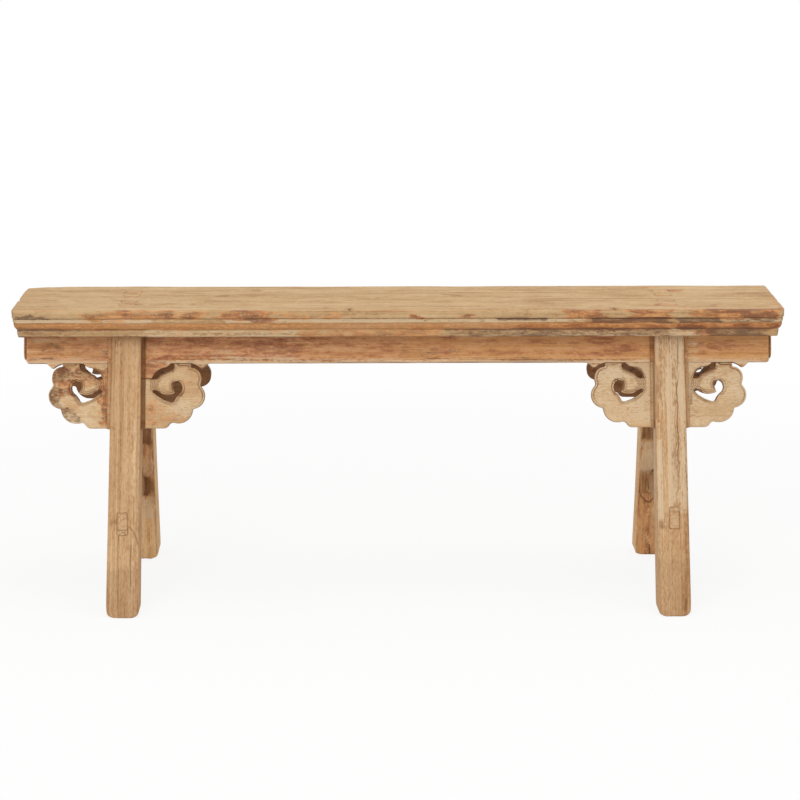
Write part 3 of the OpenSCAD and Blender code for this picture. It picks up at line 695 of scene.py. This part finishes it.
def cloud_spandrel(node, x_side, y_side, seed):
    """Spandrel board with its carving: a line along the lobes, rims round the channels, a domed
    scroll, a bud at the neck and a stem sunk below the apron."""
    piece = fine_copy(node, board_turn(y_side), 0.85 * MM)
    mesh = piece.data
    co, normals = eased(mesh, 5, 0.8 * (1 - rise(cloud_place(points_of(mesh))[1], 1.5, 3.5)))
    face_normal = (0, y_side * math.cos(SPLAY), math.sin(SPLAY))
    rim = edge_points(node, face_normal, 0.6 * MM)
    rim_u, rim_v = cloud_place(rim)
    on_head = rim_u > NECK_U
    channel_side = on_head & (rim_u < CHANNELS_U) & (rim_v < CHANNELS_V)
    lobe_side = on_head & ~channel_side
    x = co[:, 0]
    u, v = cloud_place(co)
    d = behind_legs_face(co) - FRONT_PRONG
    outer = 1 - rise(d, 0.0035, 0.0055)
    to_channel, to_lobe = np.full((2, len(co)), 99.0)
    faced = outer > 0
    to_channel[faced] = nearest(rim[channel_side], co[faced]) / MM
    to_lobe[faced] = nearest(rim[lobe_side], co[faced]) / MM
    grain = grain_place(x, v * MM, d, seed)

    worn = cover(grain, 0.85, 0.6, (30, 30, 30), seed, 1.3, 0.2)
    upper = 1 - rise(v, 50, 76)
    lobe_line = line(to_lobe, 3.6, 0.8) * rise(u, 26, 40) * (0.15 + 0.85 * upper)
    in_head = between(u, 12, 78, 4) * between(v, 9, 70, 5)
    scroll = between(u, 21, 50, 5) * between(v, 11, 47, 4)
    rim_line = line(to_channel, 2.6, 0.7) * in_head * (1 - scroll)
    second_line = line(to_channel, 5, 0.7) * in_head * rise(v, 30, 60) * (1 - scroll)
    scroll_lines = (line(to_channel, 3.2, 0.8) + 0.8 * line(to_channel, 6, 0.8)) * scroll
    dome = 3.4 * scroll * np.exp(-to_channel / 3.2)
    neck = between(u, 13.5, 25.5, 2.5) * between(v, 25, 45.5, 1.5)
    collar = np.cos((np.hypot(u - BUD_U, 0.8 * (v - BUD_V)) - BUD_R) / BUD_RING * 2 * math.pi)
    stem = between(u, 53, 80, 1.2) * (1 - rise(v, 6.5, 9.5))
    rounded = 0.8 * np.exp(-np.minimum(to_channel, to_lobe) / 1.2) * rise(v, 1, 4)
    depth = worn * (1.3 * lobe_line + 1.1 * rim_line + 0.8 * second_line + 0.7 * scroll_lines) * (1 - neck)
    depth += dome * (1 - neck) + neck * (1.2 - 0.8 * collar) + 1.1 * stem + rounded
    depth = outer * (depth + 0.12 + 0.15 * noise(grain, (14, 60, 60), seed + 1, 2)) + 0.1
    up_slope = normals @ np.array((0, -y_side * math.sin(SPLAY), math.cos(SPLAY)))
    depth -= 0.55 * rise(up_slope, 0.5, 0.9) * (1 - rise(v, 1, 3))
    wall = 1 - abs(normals @ np.array(face_normal))
    in_channel = between(u, 8, 62, 2) * between(v, -2, 65, 2)
    if y_side > 0:
        depth += 1.6 * wall * in_channel
    strip, rebate_brown_and_shade = beside_legs(co, outer)
    # Old lacquer partly fills the rebates beside the front legs
    outside = abs(x) > LEG_X
    depth -= np.where(outside, 2.5, 1.1 * (x_side > 0)) * strip * (y_side < 0) * rise(d, 0.001, 0.0025)
    co = sunk(co, normals, depth)
    reshape_heads(co, node, y_side)
    move_points(mesh, co)

    # Carved lines darkened; the scroll browned towards the channels, painted shade that rounds it, with
    # dirt in the recess
    carving_and_shade = worn * (1.15 * lobe_line + rim_line + 0.7 * second_line + 0.95 * scroll_lines) * (1 - neck)
    carving_and_shade += neck * (1 - collar) * 0.36 + (1 - neck) * scroll * 0.5 * np.exp(-to_channel / 2)
    # The inner face is browned, partly stain and partly painted shade; the cut-outs' walls too, partly
    # their own cut wood and partly painted shade
    brown_and_shade = outer * (carving_and_shade + 0.22 * stem + rebate_brown_and_shade * strip) + 0.95 * rise(d, 0.006, 0.01)
    brown_and_shade += wall * (0.25 + 0.6 * in_channel) * (1 - 0.3 * outer) * (1 - 0.8 * strip)
    fresh = outer * (1 - strip)
    grime_and_shade = fresh * cover(grain, 0.02, 0.3, (24, 24, 24), seed + 3, 0.6)
    lacquer = fresh * cover(grain, 0.1, 0.4, (18, 26, 26), seed + 4, 0.8)
    if node == "cloud_spandrel_front_left":
        marked = fresh * np.where(outside, 1.06, 0.42)
        grime_and_shade += marked * patches(u, v, OLD_HEAD_GRIME_AND_SHADE, 7, 6, 80, (0.09, 0.11))
        lacquer += marked * patches(u, v, OLD_HEAD_LACQUER, 7, 6, 83, (0.09, 0.11))
    lacquer += 0.5 * strip * outside
    paler = 0.3 + (x_side > 0) * (0.12 + 0.2 * outside)
    bleach_and_light = fresh * cover(grain, paler, 0.35, (16, 30, 30), seed + 5, 0.9)
    paint(piece, grain, lacquer, grime_and_shade, bleach_and_light, brown_and_shade)
    finished(piece, node, SPANDREL_WOOD)


# Marks on the legs' shown faces, each as across from, across to, down from, down to in MM, strength.
# On the rear legs the patches under the spandrels and beside the stretcher are stain and painted shadow.
LEG_STAINS_AND_SHADE = {
    "leg_front_left": [(-21, -11, 312, 315, 0.55), (-26, -20, 20, 160, 0.15), (-30, 30, 395, 480, 0.28)],
    "leg_front_right": [
        (-24, -18, 60, 110, 0.3), (4, 8, 62, 76, 0.45), (5, 8, 114, 120, 0.5), (2, 6, 202, 207, 0.5),
        (-22, -17, 314, 324, 0.5), (14, 20, 444, 462, 0.5), (-26, -22, 100, 145, 0.3),
        (-30, 30, 380, 480, 0.22),
    ],
    "leg_rear_left": [
        (0, 22, 150, 224, 0.72), (20, 30, 222, 250, 0.3), (6, 18, 294, 326, 0.95),
        (16, 23, 304, 320, 0.6), (18, 26, 300, 345, 0.3), (26, 32, 368, 442, 0.4),
    ],
    "leg_rear_right": [
        (-24, 6, 150, 218, 0.5), (-26, -6, 288, 330, 0.55), (-12, -10, 304, 320, 0.5),
        (-2, 3, 372, 420, 0.25),
    ],
}
LEG_LACQUER = {
    "leg_front_left": [
        (-24, 24, 0, 60, 0.25), (10, 22, 30, 140, 0.32), (-14, -6, 40, 110, 0.3), (-5, 9, 170, 290, 0.12),
    ],
    "leg_front_right": [(-28, -20, 30, 150, 0.5), (-14, -8, 20, 60, 0.35), (6, 16, 130, 160, 0.3)],
    "leg_rear_left": [(4, 30, 225, 300, 0.6), (24, 32, 300, 460, 0.35), (4, 30, 320, 420, 0.25)],
    "leg_rear_right": [(-32, -24, 220, 460, 0.55), (-24, 30, 330, 460, 0.5), (-30, 10, 150, 240, 0.5)],
}
# Pale marks there, in the same columns; those near the front left leg's inner edge and down the front right
# leg's middle are painted highlights
LEG_PALE_AND_HIGHLIGHTS = {
    "leg_front_left": [
        (13, 17, 20, 380, 0.2), (-4, 9, 170, 290, 0.25), (-18, -10, 15, 50, 0.4), (15, 20, 330, 450, 0.3),
    ],
    "leg_front_right": [
        (-6, 0, 40, 296, 0.75), (-25, -17, 180, 312, 0.6), (13, 24, 60, 300, 0.4), (2, 12, 130, 280, 0.3),
    ],
    "leg_rear_left": [(8, 26, 250, 290, 0.35), (6, 24, 340, 440, 0.2)],
    "leg_rear_right": [(-24, 4, 232, 284, 0.5), (-14, -6, 326, 346, 0.35)],
}
# Dark lines there, each as across, down of the start, across, down of the end in MM, width, strength
LEG_LINES = {
    "leg_front_left": [
        (11, 322, 18, 332, 1, 0.5), (18, 332, 25, 350, 1, 0.65), (-10, 311, -7, 314, 1.5, 0.4),
        (-8, 334, -9, 400, 0.9, 0.45), (-9, 400, -6, 458, 0.9, 0.55), (14, 352, 12, 386, 1, 0.5),
        (12, 386, 15, 420, 1, 0.45), (16, 270, 17, 318, 0.9, 0.45), (-19, 30, -20, 120, 0.8, 0.3),
    ],
    "leg_front_right": [
        (3, 203, 6, 222, 1, 0.5), (6, 222, 10, 243, 1, 0.6), (13, 216, 10, 243, 1, 0.5),
        (10, 243, 9, 266, 1, 0.5), (-22, 323, 14, 326, 0.9, 0.4), (18, 444, 17, 462, 1.2, 0.7),
    ],
    "leg_rear_left": [(9, 288, 16, 300, 1.4, 0.5), (16, 318, 9, 336, 1.4, 0.5)],
    "leg_rear_right": [
        (-27, 324, -22, 338, 1.6, 0.9), (-22, 338, -14, 348, 1.6, 1), (-14, 348, -6, 350, 1.9, 1),
        (-6, 350, 2, 338, 1.4, 0.8), (-2, 440, -1, 458, 1.8, 1), (-10, 302, -9, 324, 1.3, 0.7),
    ],
}
# How far each foot is worn more on one side, in MM to its right
FOOT_SHIFT = {"leg_front_left": 1.2, "leg_front_right": -0.7}


def leg(node, x_side, y_side, seed):
    lean = math.atan((FRONT_LEG_LEAN if y_side < 0 else REAR_LEG_LEAN) / UNDER_SEAT)
    turn = board_turn(y_side) @ Matrix.Rotation(-x_side * lean, 4, "Y")
    piece = fine_copy(node, turn, 1.3 * MM)
    mesh = piece.data
    rough = points_of(mesh)
    beside_tenon = abs(rough[:, 0] - x_side * (leg_middle(rough[:, 2], rough[:, 1]) + 0.001))
    mortised = (1 - rise(beside_tenon, 0.012, 0.016)) * between(rough[:, 2], 0.128, 0.178, 0.005)
    co, normals = eased(mesh, 9, np.maximum(rise(rough[:, 2], 0.475, 0.49), mortised))
    x, y, z = co.T
    along, through = down_the_slope(co), behind_legs_face(co)
    across = x - x_side * leg_middle(z, y)
    grain = grain_place(along, across, through, seed)
    across_mm, along_mm = across / MM, along / MM
    below = 1 - rise(z, UNDER_SEAT - 0.004, UNDER_SEAT)
    faces_viewer = rise(-normals[:, 1], 0.4, 0.8)
    wavering = across_mm + 1.2 * noise(grain, (60, 0, 0), seed + 6, 2)
    lines = faces_viewer * strokes(wavering, along_mm, LEG_LINES[node])
    hollow = 0.2 + 0.34 * noise(grain, (4, 45, 45), seed, 2)
    depth = 0.05 + below * (hollow + 0.24 * abs(noise(grain, (5, 210, 210), seed + 1)))
    foot = 1 - rise(z, 0.002, 0.03)
    depth += foot * cover(grain, 0.15, 0.25, (60, 110, 110), seed + 2, 1) + 0.9 * lines
    if y_side > 0:
        depth -= below * rise(-x_side * normals[:, 0], 0.5, 0.9) * (2.6 - 1.4 * rise(-z, -0.33, -0.1))
    co = sunk(co, normals, np.clip(depth, -3, 3))
    # Each foot is worn narrower just above the floor, and the rear left one is the thickest
    worn_foot = np.clip(1 - z / 0.026, 0, 1) ** 2
    co[:, 0] -= MM * worn_foot * across / leg_half(z)
    co[:, 0] += FOOT_SHIFT.get(node, 0) * MM * worn_foot
    corner = 0.011 if node == "leg_rear_left" else 0.007
    under_corner = np.clip(1 - z / corner, 0, 1)
    co[:, 0] -= corner * (1 - np.sqrt(1 - under_corner**2)) * (across / leg_half(z)) ** 3
    if node == "leg_rear_left":
        co[:, 1] -= 0.016 * np.clip(through / 0.05, 0, 1) * (1 - rise(z, 0, 0.32))
    co[:, 2] = np.clip(co[:, 2], 0, BENCH_H - 0.02 * MM)
    move_points(mesh, co)

    stains_and_shade, lacquer_marks, pale_and_highlight_marks = [
        faces_viewer * patches(across_mm, along_mm, areas[node], 1.7, 6, edge_seed, (0.15, 0.03))
        for areas, edge_seed in ((LEG_STAINS_AND_SHADE, 74), (LEG_LACQUER, 77), (LEG_PALE_AND_HIGHLIGHTS, 80))
    ]
    # The right legs carry fewer marks and get paler towards the top; the left ones get darker there
    right_top_fewer_marks = 1 - 0.6 * (x_side > 0) * rise(z, 0.28, 0.36)
    lacquer = lacquer_marks + below * right_top_fewer_marks * cover(grain, 0.06, 0.2, (7, 90, 90), seed + 3, 0.6)
    darkening_base = 0.02 + (x_side < 0) * (0.04 + 0.14 * rise(z, 0.2, 0.3))
    grime_and_shade = below * right_top_fewer_marks * cover(grain, darkening_base, 0.25, (8, 80, 80), seed + 4, 0.5)
    grime_and_shade += 0.3 * (1 - rise(z, 0, 0.006)) + 0.75 * lines
    paler = 0.02 + (x_side > 0) * (0.08 + 0.3 * rise(z, 0.12, 0.2) + 0.4 * rise(z, 0.3, 0.36))
    bleach_and_light = pale_and_highlight_marks + below * cover(grain, paler, 0.3, (3, 60, 60), seed + 5, 0.8)
    tenon_end = rise(z, BENCH_H - 0.003, BENCH_H - 0.001)
    end = rise(-normals[:, 2], 0.7, 0.95)
    # The front legs' faces turned from the viewer are browned towards the top, partly stain and partly
    # painted shade under the apron
    inside = 0.35 * (1 - faces_viewer) * below * rise(z, 0.3, 0.4) * (y_side < 0)
    brown_and_shade = np.maximum(stains_and_shade, 0.9 * lines) + 0.3 * end + inside
    # The tenons' end grain is browned, more on the rear legs, whose wood is painted lighter
    brown_and_shade += (0.15 if y_side < 0 else 0.36) * tenon_end
    if y_side > 0:
        # The rear legs' inner faces get painted shade under the spandrels, partly dirt as well,
        # and on the left leg at the stretcher; and painted light between and below these, against
        # the shade that the seat, spandrels and stretcher cast
        left = x_side < 0
        bleach_and_light += faces_viewer * (0.75 if left else 0.3) * between(z, 0.166, 0.204 if left else 0.222, 0.006)
        bleach_and_light += faces_viewer * (0.4 if left else 0.15) * between(z, 0.085, 0.118, 0.008)
        brown_and_shade += faces_viewer * (0.5 if left else 0.4) * rise(z, 0.208 if left else 0.222, 0.232)
        brown_and_shade += faces_viewer * (0.35 * left) * between(z, 0.126, 0.15, 0.004)
    paint(piece, grain, lacquer, grime_and_shade, bleach_and_light, brown_and_shade)
    finished(piece, node, LEG_WOOD if y_side < 0 else REAR_LEG_PAINTED_LIGHTER)


def cross_piece(node, material, size, seed):
    """A stretcher or a wedge, with its grain running front to back."""
    piece = fine_copy(node, Matrix.Identity(4), size)
    mesh = piece.data
    co, normals = eased(mesh, 3, 0.9 * rise(abs(points_of(mesh)[:, 1]), 0.115, 0.12))
    x, y, z = co.T
    grain = grain_place(y, z, x, seed)
    end = rise(abs(normals[:, 1]), 0.7, 0.95)
    depth = 0.12 + 0.12 * noise(grain, (9, 60, 60), seed, 2)
    depth -= 0.8 * (1 - end) * rise(abs(y), 0.115, 0.125)
    move_points(mesh, sunk(co, normals, depth))
    grime_and_shade = (1 - 0.7 * end) * cover(grain, 0.1, 0.4, (12, 70, 70), seed + 1, 0.7)
    lacquer = (1 - 0.7 * end) * cover(grain, 0.1, 0.4, (12, 50, 50), seed + 2, 0.6)
    paint(piece, grain, lacquer, grime_and_shade, 0.45 * end, 0.35 - 0.25 * end)
    finished(piece, node, material)


# Shading
def linear(red, green, blue):
    """A colour as it looks on screen, from 0 to 255, as light."""
    share = [c / 255 for c in (red, green, blue)]
    return tuple(c / 12.92 if c < 0.04045 else ((c + 0.055) / 1.055) ** 2.4 for c in share) + (1,)


class Wire:
    """A value, colour or direction on its way through a material's nodes."""

    def __init__(self, graph, socket):
        self.graph = graph
        self.socket = socket

    def maths(self, operation, *others):
        return self.graph.add("ShaderNodeMath", {"operation": operation}, dict(enumerate((self, *others))))

    def __add__(self, other):
        return self.maths("ADD", other)

    def __sub__(self, other):
        return self.maths("SUBTRACT", other)

    def __rsub__(self, other):
        return self.maths("MULTIPLY", -1) + other

    def __mul__(self, other):
        return self.maths("MULTIPLY", other)

    def __truediv__(self, other):
        return self.maths("DIVIDE", other)

    def __pow__(self, other):
        return self.maths("POWER", other)

    __radd__ = __add__
    __rmul__ = __mul__


class Graph:
    """The nodes of one material or of the world."""

    def __init__(self, owner):
        owner.use_nodes = True
        self.nodes = owner.node_tree.nodes
        self.links = owner.node_tree.links
        self.nodes.clear()

    def add(self, kind, settings=None, sockets=None, out=0):
        """Adds a node, sets it, fills its sockets with values or links, and gives one of its outputs."""
        node = self.nodes.new(kind)
        for name, value in (settings or {}).items():
            if name == "stops":
                while len(node.color_ramp.elements) < len(value):
                    node.color_ramp.elements.new(1)
                for stop, (place, colour) in zip(node.color_ramp.elements, value):
                    stop.position = place
                    stop.color = colour
            else:
                setattr(node, name, value)
        for key, value in (sockets or {}).items():
            if isinstance(value, Wire):
                self.links.new(value.socket, node.inputs[key])
            else:
                node.inputs[key].default_value = value
        return Wire(self, node.outputs[out]) if node.outputs else None

    def noise(self, place, waves, detail=2, roughness=0.5):
        """Noise around 0, with so many waves per metre along each axis of place."""
        stretched = self.add("ShaderNodeVectorMath", {"operation": "MULTIPLY"}, {0: place, 1: waves})
        sockets = {"Vector": stretched, "Scale": 1, "Detail": detail, "Roughness": roughness}
        return self.add("ShaderNodeTexNoise", None, sockets) - 0.5

    def rise(self, value, low, high):
        """0 below low, 1 above high, and smooth between."""
        sockets = {"Value": value, "From Min": low, "From Max": high}
        return self.add("ShaderNodeMapRange", {"interpolation_type": "SMOOTHSTEP"}, sockets)

    def mix(self, share, under, over):
        """One colour over another by share."""
        return self.add("ShaderNodeMix", {"data_type": "RGBA"}, {0: share, 6: under, 7: over}, out=2)

    def ramp(self, value, places, colours):
        """The colours, each where value reaches its place."""
        stops = [(place, linear(*colour)) for place, colour in zip(places, colours)]
        return self.add("ShaderNodeValToRGB", {"stops": stops}, {0: value})

    def parts(self, vector):
        """The three numbers of a vector."""
        return [self.add("ShaderNodeSeparateXYZ", None, {0: vector}, out=k) for k in range(3)]


def old_wood(
    name, tones, lacquers, dirt_and_shade_colour, ring_gap=0.0055, pith=(0.02, -0.06), streaky=1, blotchy=1, cracks=(),
    stain=(176, 112, 58),
):
    """Bare weathered wood. tones are its dark, middle, light and palest colours, and lacquers the dark,
    middle and light ones of the old lacquer. cracks are given by where they start and end along the
    grain, their place across it, their width and their strength."""
    material = bpy.data.materials.new(name)
    g = Graph(material)
    grain = g.add("ShaderNodeAttribute", {"attribute_name": "grain"}, out=1)
    finish = g.add("ShaderNodeAttribute", {"attribute_name": "finish"})
    brown_and_shade = g.add("ShaderNodeAttribute", {"attribute_name": "finish"}, out=3)
    stained = g.add("ShaderNodeAttribute", {"attribute_name": "stain"}, out=2)
    lacquer_cover, grime_and_shade_cover, bleach_and_light_cover = g.parts(finish)
    along, across, through = g.parts(grain)

    fibre = g.noise(grain, (14, 900, 900), 3)
    vein = g.noise(grain, (2.4, 380, 380), 3, 0.6)
    streak = g.noise(grain, (3.2, 150, 150), 3, 0.55)
    cloud = g.noise(grain, (7, 26, 26), 2)
    mottle = g.noise(grain, (40, 95, 95), 4, 0.62)
    speckle = g.noise(grain, (130, 390, 390), 4, 0.7)
    bend = g.noise(grain, (1.6, 7, 7), 2)
    radius = ((across - pith[0] + bend * 0.05) ** 2 + (through - pith[1]) ** 2) ** 0.5
    ring = (radius / ring_gap + streak * 0.8).maths("FRACT")
    late = ring ** 3 * (1 - g.rise(ring, 0.86, 1))
    pore = g.rise(g.noise(grain, (60, 650, 650), 2), 0.15, 0.24)

    tone = 0.54 + (streak * 0.8 + vein * 1.2 - late * 0.2) * streaky + (cloud + mottle) * (0.9 * blotchy)
    tone = tone + speckle * 1.1 + fibre * 0.4
    wood = g.ramp(tone, (0.12, 0.42, 0.66, 0.92), tones)
    wood = g.mix(pore * 0.35, wood, linear(120, 86, 56))

    # The bleach, dirt and brown layers carry real wear and stains, and also painted light and painted shade
    bleached_and_lit = g.rise(bleach_and_light_cover + speckle * 1.6 + vein * 0.9, 0.36, 0.66)
    wood = g.mix(bleached_and_lit * 0.5, wood, linear(220, 198, 166))
    wood = g.mix(stained * 0.75, wood, linear(*stain))
    left = g.rise(lacquer_cover + speckle * 2.6 + vein * 0.8 + mottle * 0.8, 0.38, 0.6)
    hue = 0.8 + g.noise(grain, (16, 80, 80), 3) + speckle * 1.2 + mottle * 0.9 - lacquer_cover * 0.5
    wood = g.mix(left * 0.8, wood, g.ramp(hue, (0.3, 0.5, 0.68), lacquers))
    dirt_and_shade = g.rise(grime_and_shade_cover + speckle * 1.6 + mottle * 0.6, 0.24, 0.86)
    wood = g.mix(dirt_and_shade * 0.8, wood, linear(*dirt_and_shade_colour))
    wood = g.mix(brown_and_shade * (0.9 + mottle * 0.8), wood, linear(*BROWN_STAIN_AND_SHADE))

    height = fibre * 0.4 + streak * 0.4 + vein * 0.5 - late * 0.3 - pore * 0.5 + left * 0.25 + speckle * 0.7
    open_crack = None
    for start, stop, place, width, strength in cracks:
        wander = g.noise(grain, (22, 0, 0), 3) * 0.009
        gap = (across - place - wander).maths("ABSOLUTE")
        reach = g.rise(along, start, start + 0.02) * (1 - g.rise(along, stop - 0.04, stop)) * strength
        this_crack = (1 - g.rise(gap, width * 0.2, width)) * reach
        open_crack = this_crack if open_crack is None else open_crack.maths("MAXIMUM", this_crack)
    if open_crack is not None:
        wood = g.mix(open_crack * (0.7 + mottle * 1.6), wood, linear(96, 60, 36))
        height = height - open_crack * 2
    bump = g.add("ShaderNodeBump", None, {"Strength": 0.5, "Distance": 0.0009, "Height": height})
    rough = 0.74 - left * 0.14 + fibre * 0.25 + dirt_and_shade * 0.06
    shader = g.add("ShaderNodeBsdfPrincipled", None, {
        "Base Color": wood, "Roughness": rough, "Normal": bump, "Specular IOR Level": 0.28,
    })
    g.add("ShaderNodeOutputMaterial", None, {"Surface": shader})
    return material


# The brown colour serves stains and painted shade alike; the dirt colours also paint shade
BROWN_STAIN_AND_SHADE = (126, 78, 40)
PURPLE_DIRT_AND_SHADE = (100, 70, 54)
BROWN_DIRT_AND_SHADE = (98, 60, 34)
ORANGE_LACQUERS = [(120, 66, 38), (184, 114, 62), (210, 150, 94)]
RED_LACQUERS = [(146, 86, 60), (188, 122, 80), (214, 156, 110)]
HONEY_LACQUERS = [(142, 94, 56), (190, 138, 88), (212, 164, 116)]

SEAT_WOOD = old_wood(
    "dry_pale_plank", [(160, 122, 80), (186, 151, 108), (196, 164, 122), (208, 178, 138)], ORANGE_LACQUERS,
    PURPLE_DIRT_AND_SHADE, 0.0075, (0.03, 0.42),
)
APRON_WOOD = old_wood(
    "lacquered_apron", [(152, 98, 58), (194, 142, 94), (210, 162, 114), (222, 186, 146)], RED_LACQUERS,
    PURPLE_DIRT_AND_SHADE, 0.006, streaky=1.3, stain=(214, 154, 92),
)
# Cracks in the front legs, whose grain starts at 25 m in the left one and at 30 m in the right one:
# start and end along the grain, place across it, width, strength
LEG_CRACKS = [
    (25.3, 25.47, -0.0072, 0.0009, 0.5), (25.33, 25.45, 0.0138, 0.001, 0.5),
    (25.1, 25.3, -0.005, 0.0007, 0.35), (25.05, 25.29, 0.0205, 0.0009, 0.45),
    (30.07, 30.24, 0.0108, 0.0012, 1), (30, 30.09, 0.0125, 0.001, 0.8),
    (30.12, 30.24, 0.0066, 0.0008, 0.7), (30.02, 30.36, -0.015, 0.0007, 0.3),
]
LEG_WOOD = old_wood(
    "honey_leg", [(152, 106, 66), (188, 147, 104), (205, 168, 126), (224, 194, 155)], HONEY_LACQUERS,
    BROWN_DIRT_AND_SHADE, 0.0052, (0.013, 0.075), 0.75, 0.6, LEG_CRACKS,
)
# A lighter copy of the leg wood for the rear legs: painted light against the shade under the bench
REAR_LEG_PAINTED_LIGHTER = old_wood(
    "lightened_rear_leg", [(184, 134, 86), (222, 176, 124), (232, 194, 144), (240, 210, 168)], ORANGE_LACQUERS,
    BROWN_DIRT_AND_SHADE, 0.0052, (0.013, 0.075), 0.9, 0.8,
)
SPANDREL_WOOD = old_wood(
    "carved_spandrel", [(170, 130, 90), (196, 160, 118), (210, 178, 137), (224, 198, 162)], ORANGE_LACQUERS,
    BROWN_DIRT_AND_SHADE, 0.006, streaky=0.25, blotchy=0.8,
)
STRETCHER_WOOD = old_wood(
    "brown_stretcher", [(146, 104, 66), (186, 142, 98), (202, 162, 118), (216, 182, 140)], ORANGE_LACQUERS,
    BROWN_DIRT_AND_SHADE, streaky=0.45,
)
WEDGE_WOOD = old_wood(
    "wedge_end", [(150, 108, 70), (190, 150, 108), (206, 168, 126), (220, 186, 146)], ORANGE_LACQUERS,
    BROWN_DIRT_AND_SHADE, streaky=0.45,
)


# The bench put together
seat_plank()
long_apron("apron_front", -1, 1)
long_apron("apron_rear", 1, 2)
end_apron("end_apron_left", -1, 3)
end_apron("end_apron_right", 1, 4)
SIDES = {"front": -1, "rear": 1, "left": -1, "right": 1}
for number, (face, hand) in enumerate((f, h) for f in ("front", "rear") for h in ("left", "right")):
    leg(f"leg_{face}_{hand}", SIDES[hand], SIDES[face], 5 + number)
    cloud_spandrel(f"cloud_spandrel_{face}_{hand}", SIDES[hand], SIDES[face], 9 + number)
    cross_piece(f"wedge_{face}_{hand}", WEDGE_WOOD, 0.8 * MM, 13 + number)
for number, hand in enumerate(("left", "right")):
    cross_piece(f"side_stretcher_{hand}", STRETCHER_WOOD, 1.6 * MM, 17 + number)


# Studio: a pale floor and backdrop that stay white to the camera, and soft lamps
WHITE = (1, 1, 1, 1)
FLOOR_COLOUR = (0.86, 0.86, 0.85, 1)
FLOOR_REACH = 14
ROOM_LIGHT = 0.62
# Each lamp's name, place, width and power
LAMPS = (("front_lamp", (-1.2, -3.6, 3.2), 2.6, 70), ("top_lamp", (0.6, -0.4, 3.6), 2.4, 40))
LAMPS_AIM = Vector((0, 0, 0.3))
LENS_MM = 108
SENSOR_MM = 36
CAMERA_PLACE = (-0.03727, -3.96737, 1.28636)
CAMERA_DOWN = 0.23822
CAMERA_TURN = -0.01035


def studio():
    scene = bpy.context.scene
    scene.view_settings.view_transform = "Standard"
    world = bpy.data.worlds.new("white_room")
    scene.world = world
    g = Graph(world)
    seen = g.add("ShaderNodeLightPath")
    glossy = g.add("ShaderNodeLightPath", out=3)
    shown = seen.maths("MAXIMUM", glossy)
    room = g.add("ShaderNodeBackground", None, {"Color": WHITE, "Strength": ROOM_LIGHT})
    white = g.add("ShaderNodeBackground", None, {"Color": WHITE, "Strength": 1})
    both = g.add("ShaderNodeMixShader", None, {0: shown, 1: room, 2: white})
    g.add("ShaderNodeOutputWorld", None, {"Surface": both})

    material = bpy.data.materials.new("white_floor")
    g = Graph(material)
    seen = g.add("ShaderNodeLightPath")
    place = g.add("ShaderNodeNewGeometry")
    away = g.rise(g.add("ShaderNodeVectorMath", {"operation": "LENGTH"}, {0: place}, out=1), 0.8, 2)
    matt = g.add("ShaderNodeBsdfDiffuse", None, {"Color": FLOOR_COLOUR})
    white = g.add("ShaderNodeEmission", None, {"Color": WHITE, "Strength": 1})
    both = g.add("ShaderNodeMixShader", None, {0: seen * (0.86 + away * 0.14), 1: matt, 2: white})
    g.add("ShaderNodeOutputMaterial", None, {"Surface": both})
    mesh = bpy.data.meshes.new("floor")
    corners = [(x * FLOOR_REACH, y * FLOOR_REACH, 0) for x, y in ((-1, -1), (1, -1), (1, 1), (-1, 1))]
    mesh.from_pydata(corners, [], [(0, 1, 2, 3)])
    mesh.materials.append(material)
    floor = placed("floor", mesh)

    for name, place, size, power in LAMPS:
        lamp_data = bpy.data.lights.new(name, "AREA")
        lamp_data.size = size
        lamp_data.energy = power
        lamp = placed(name, lamp_data)
        lamp.location = place
        lamp.rotation_euler = (LAMPS_AIM - Vector(place)).to_track_quat("-Z", "Y").to_euler()

    camera_data = bpy.data.cameras.new("camera")
    camera_data.lens = LENS_MM
    camera_data.sensor_width = SENSOR_MM
    camera = placed("camera", camera_data)
    camera.location = CAMERA_PLACE
    camera.rotation_euler = (math.pi / 2 - CAMERA_DOWN, 0, CAMERA_TURN)
    scene.camera = camera


studio()
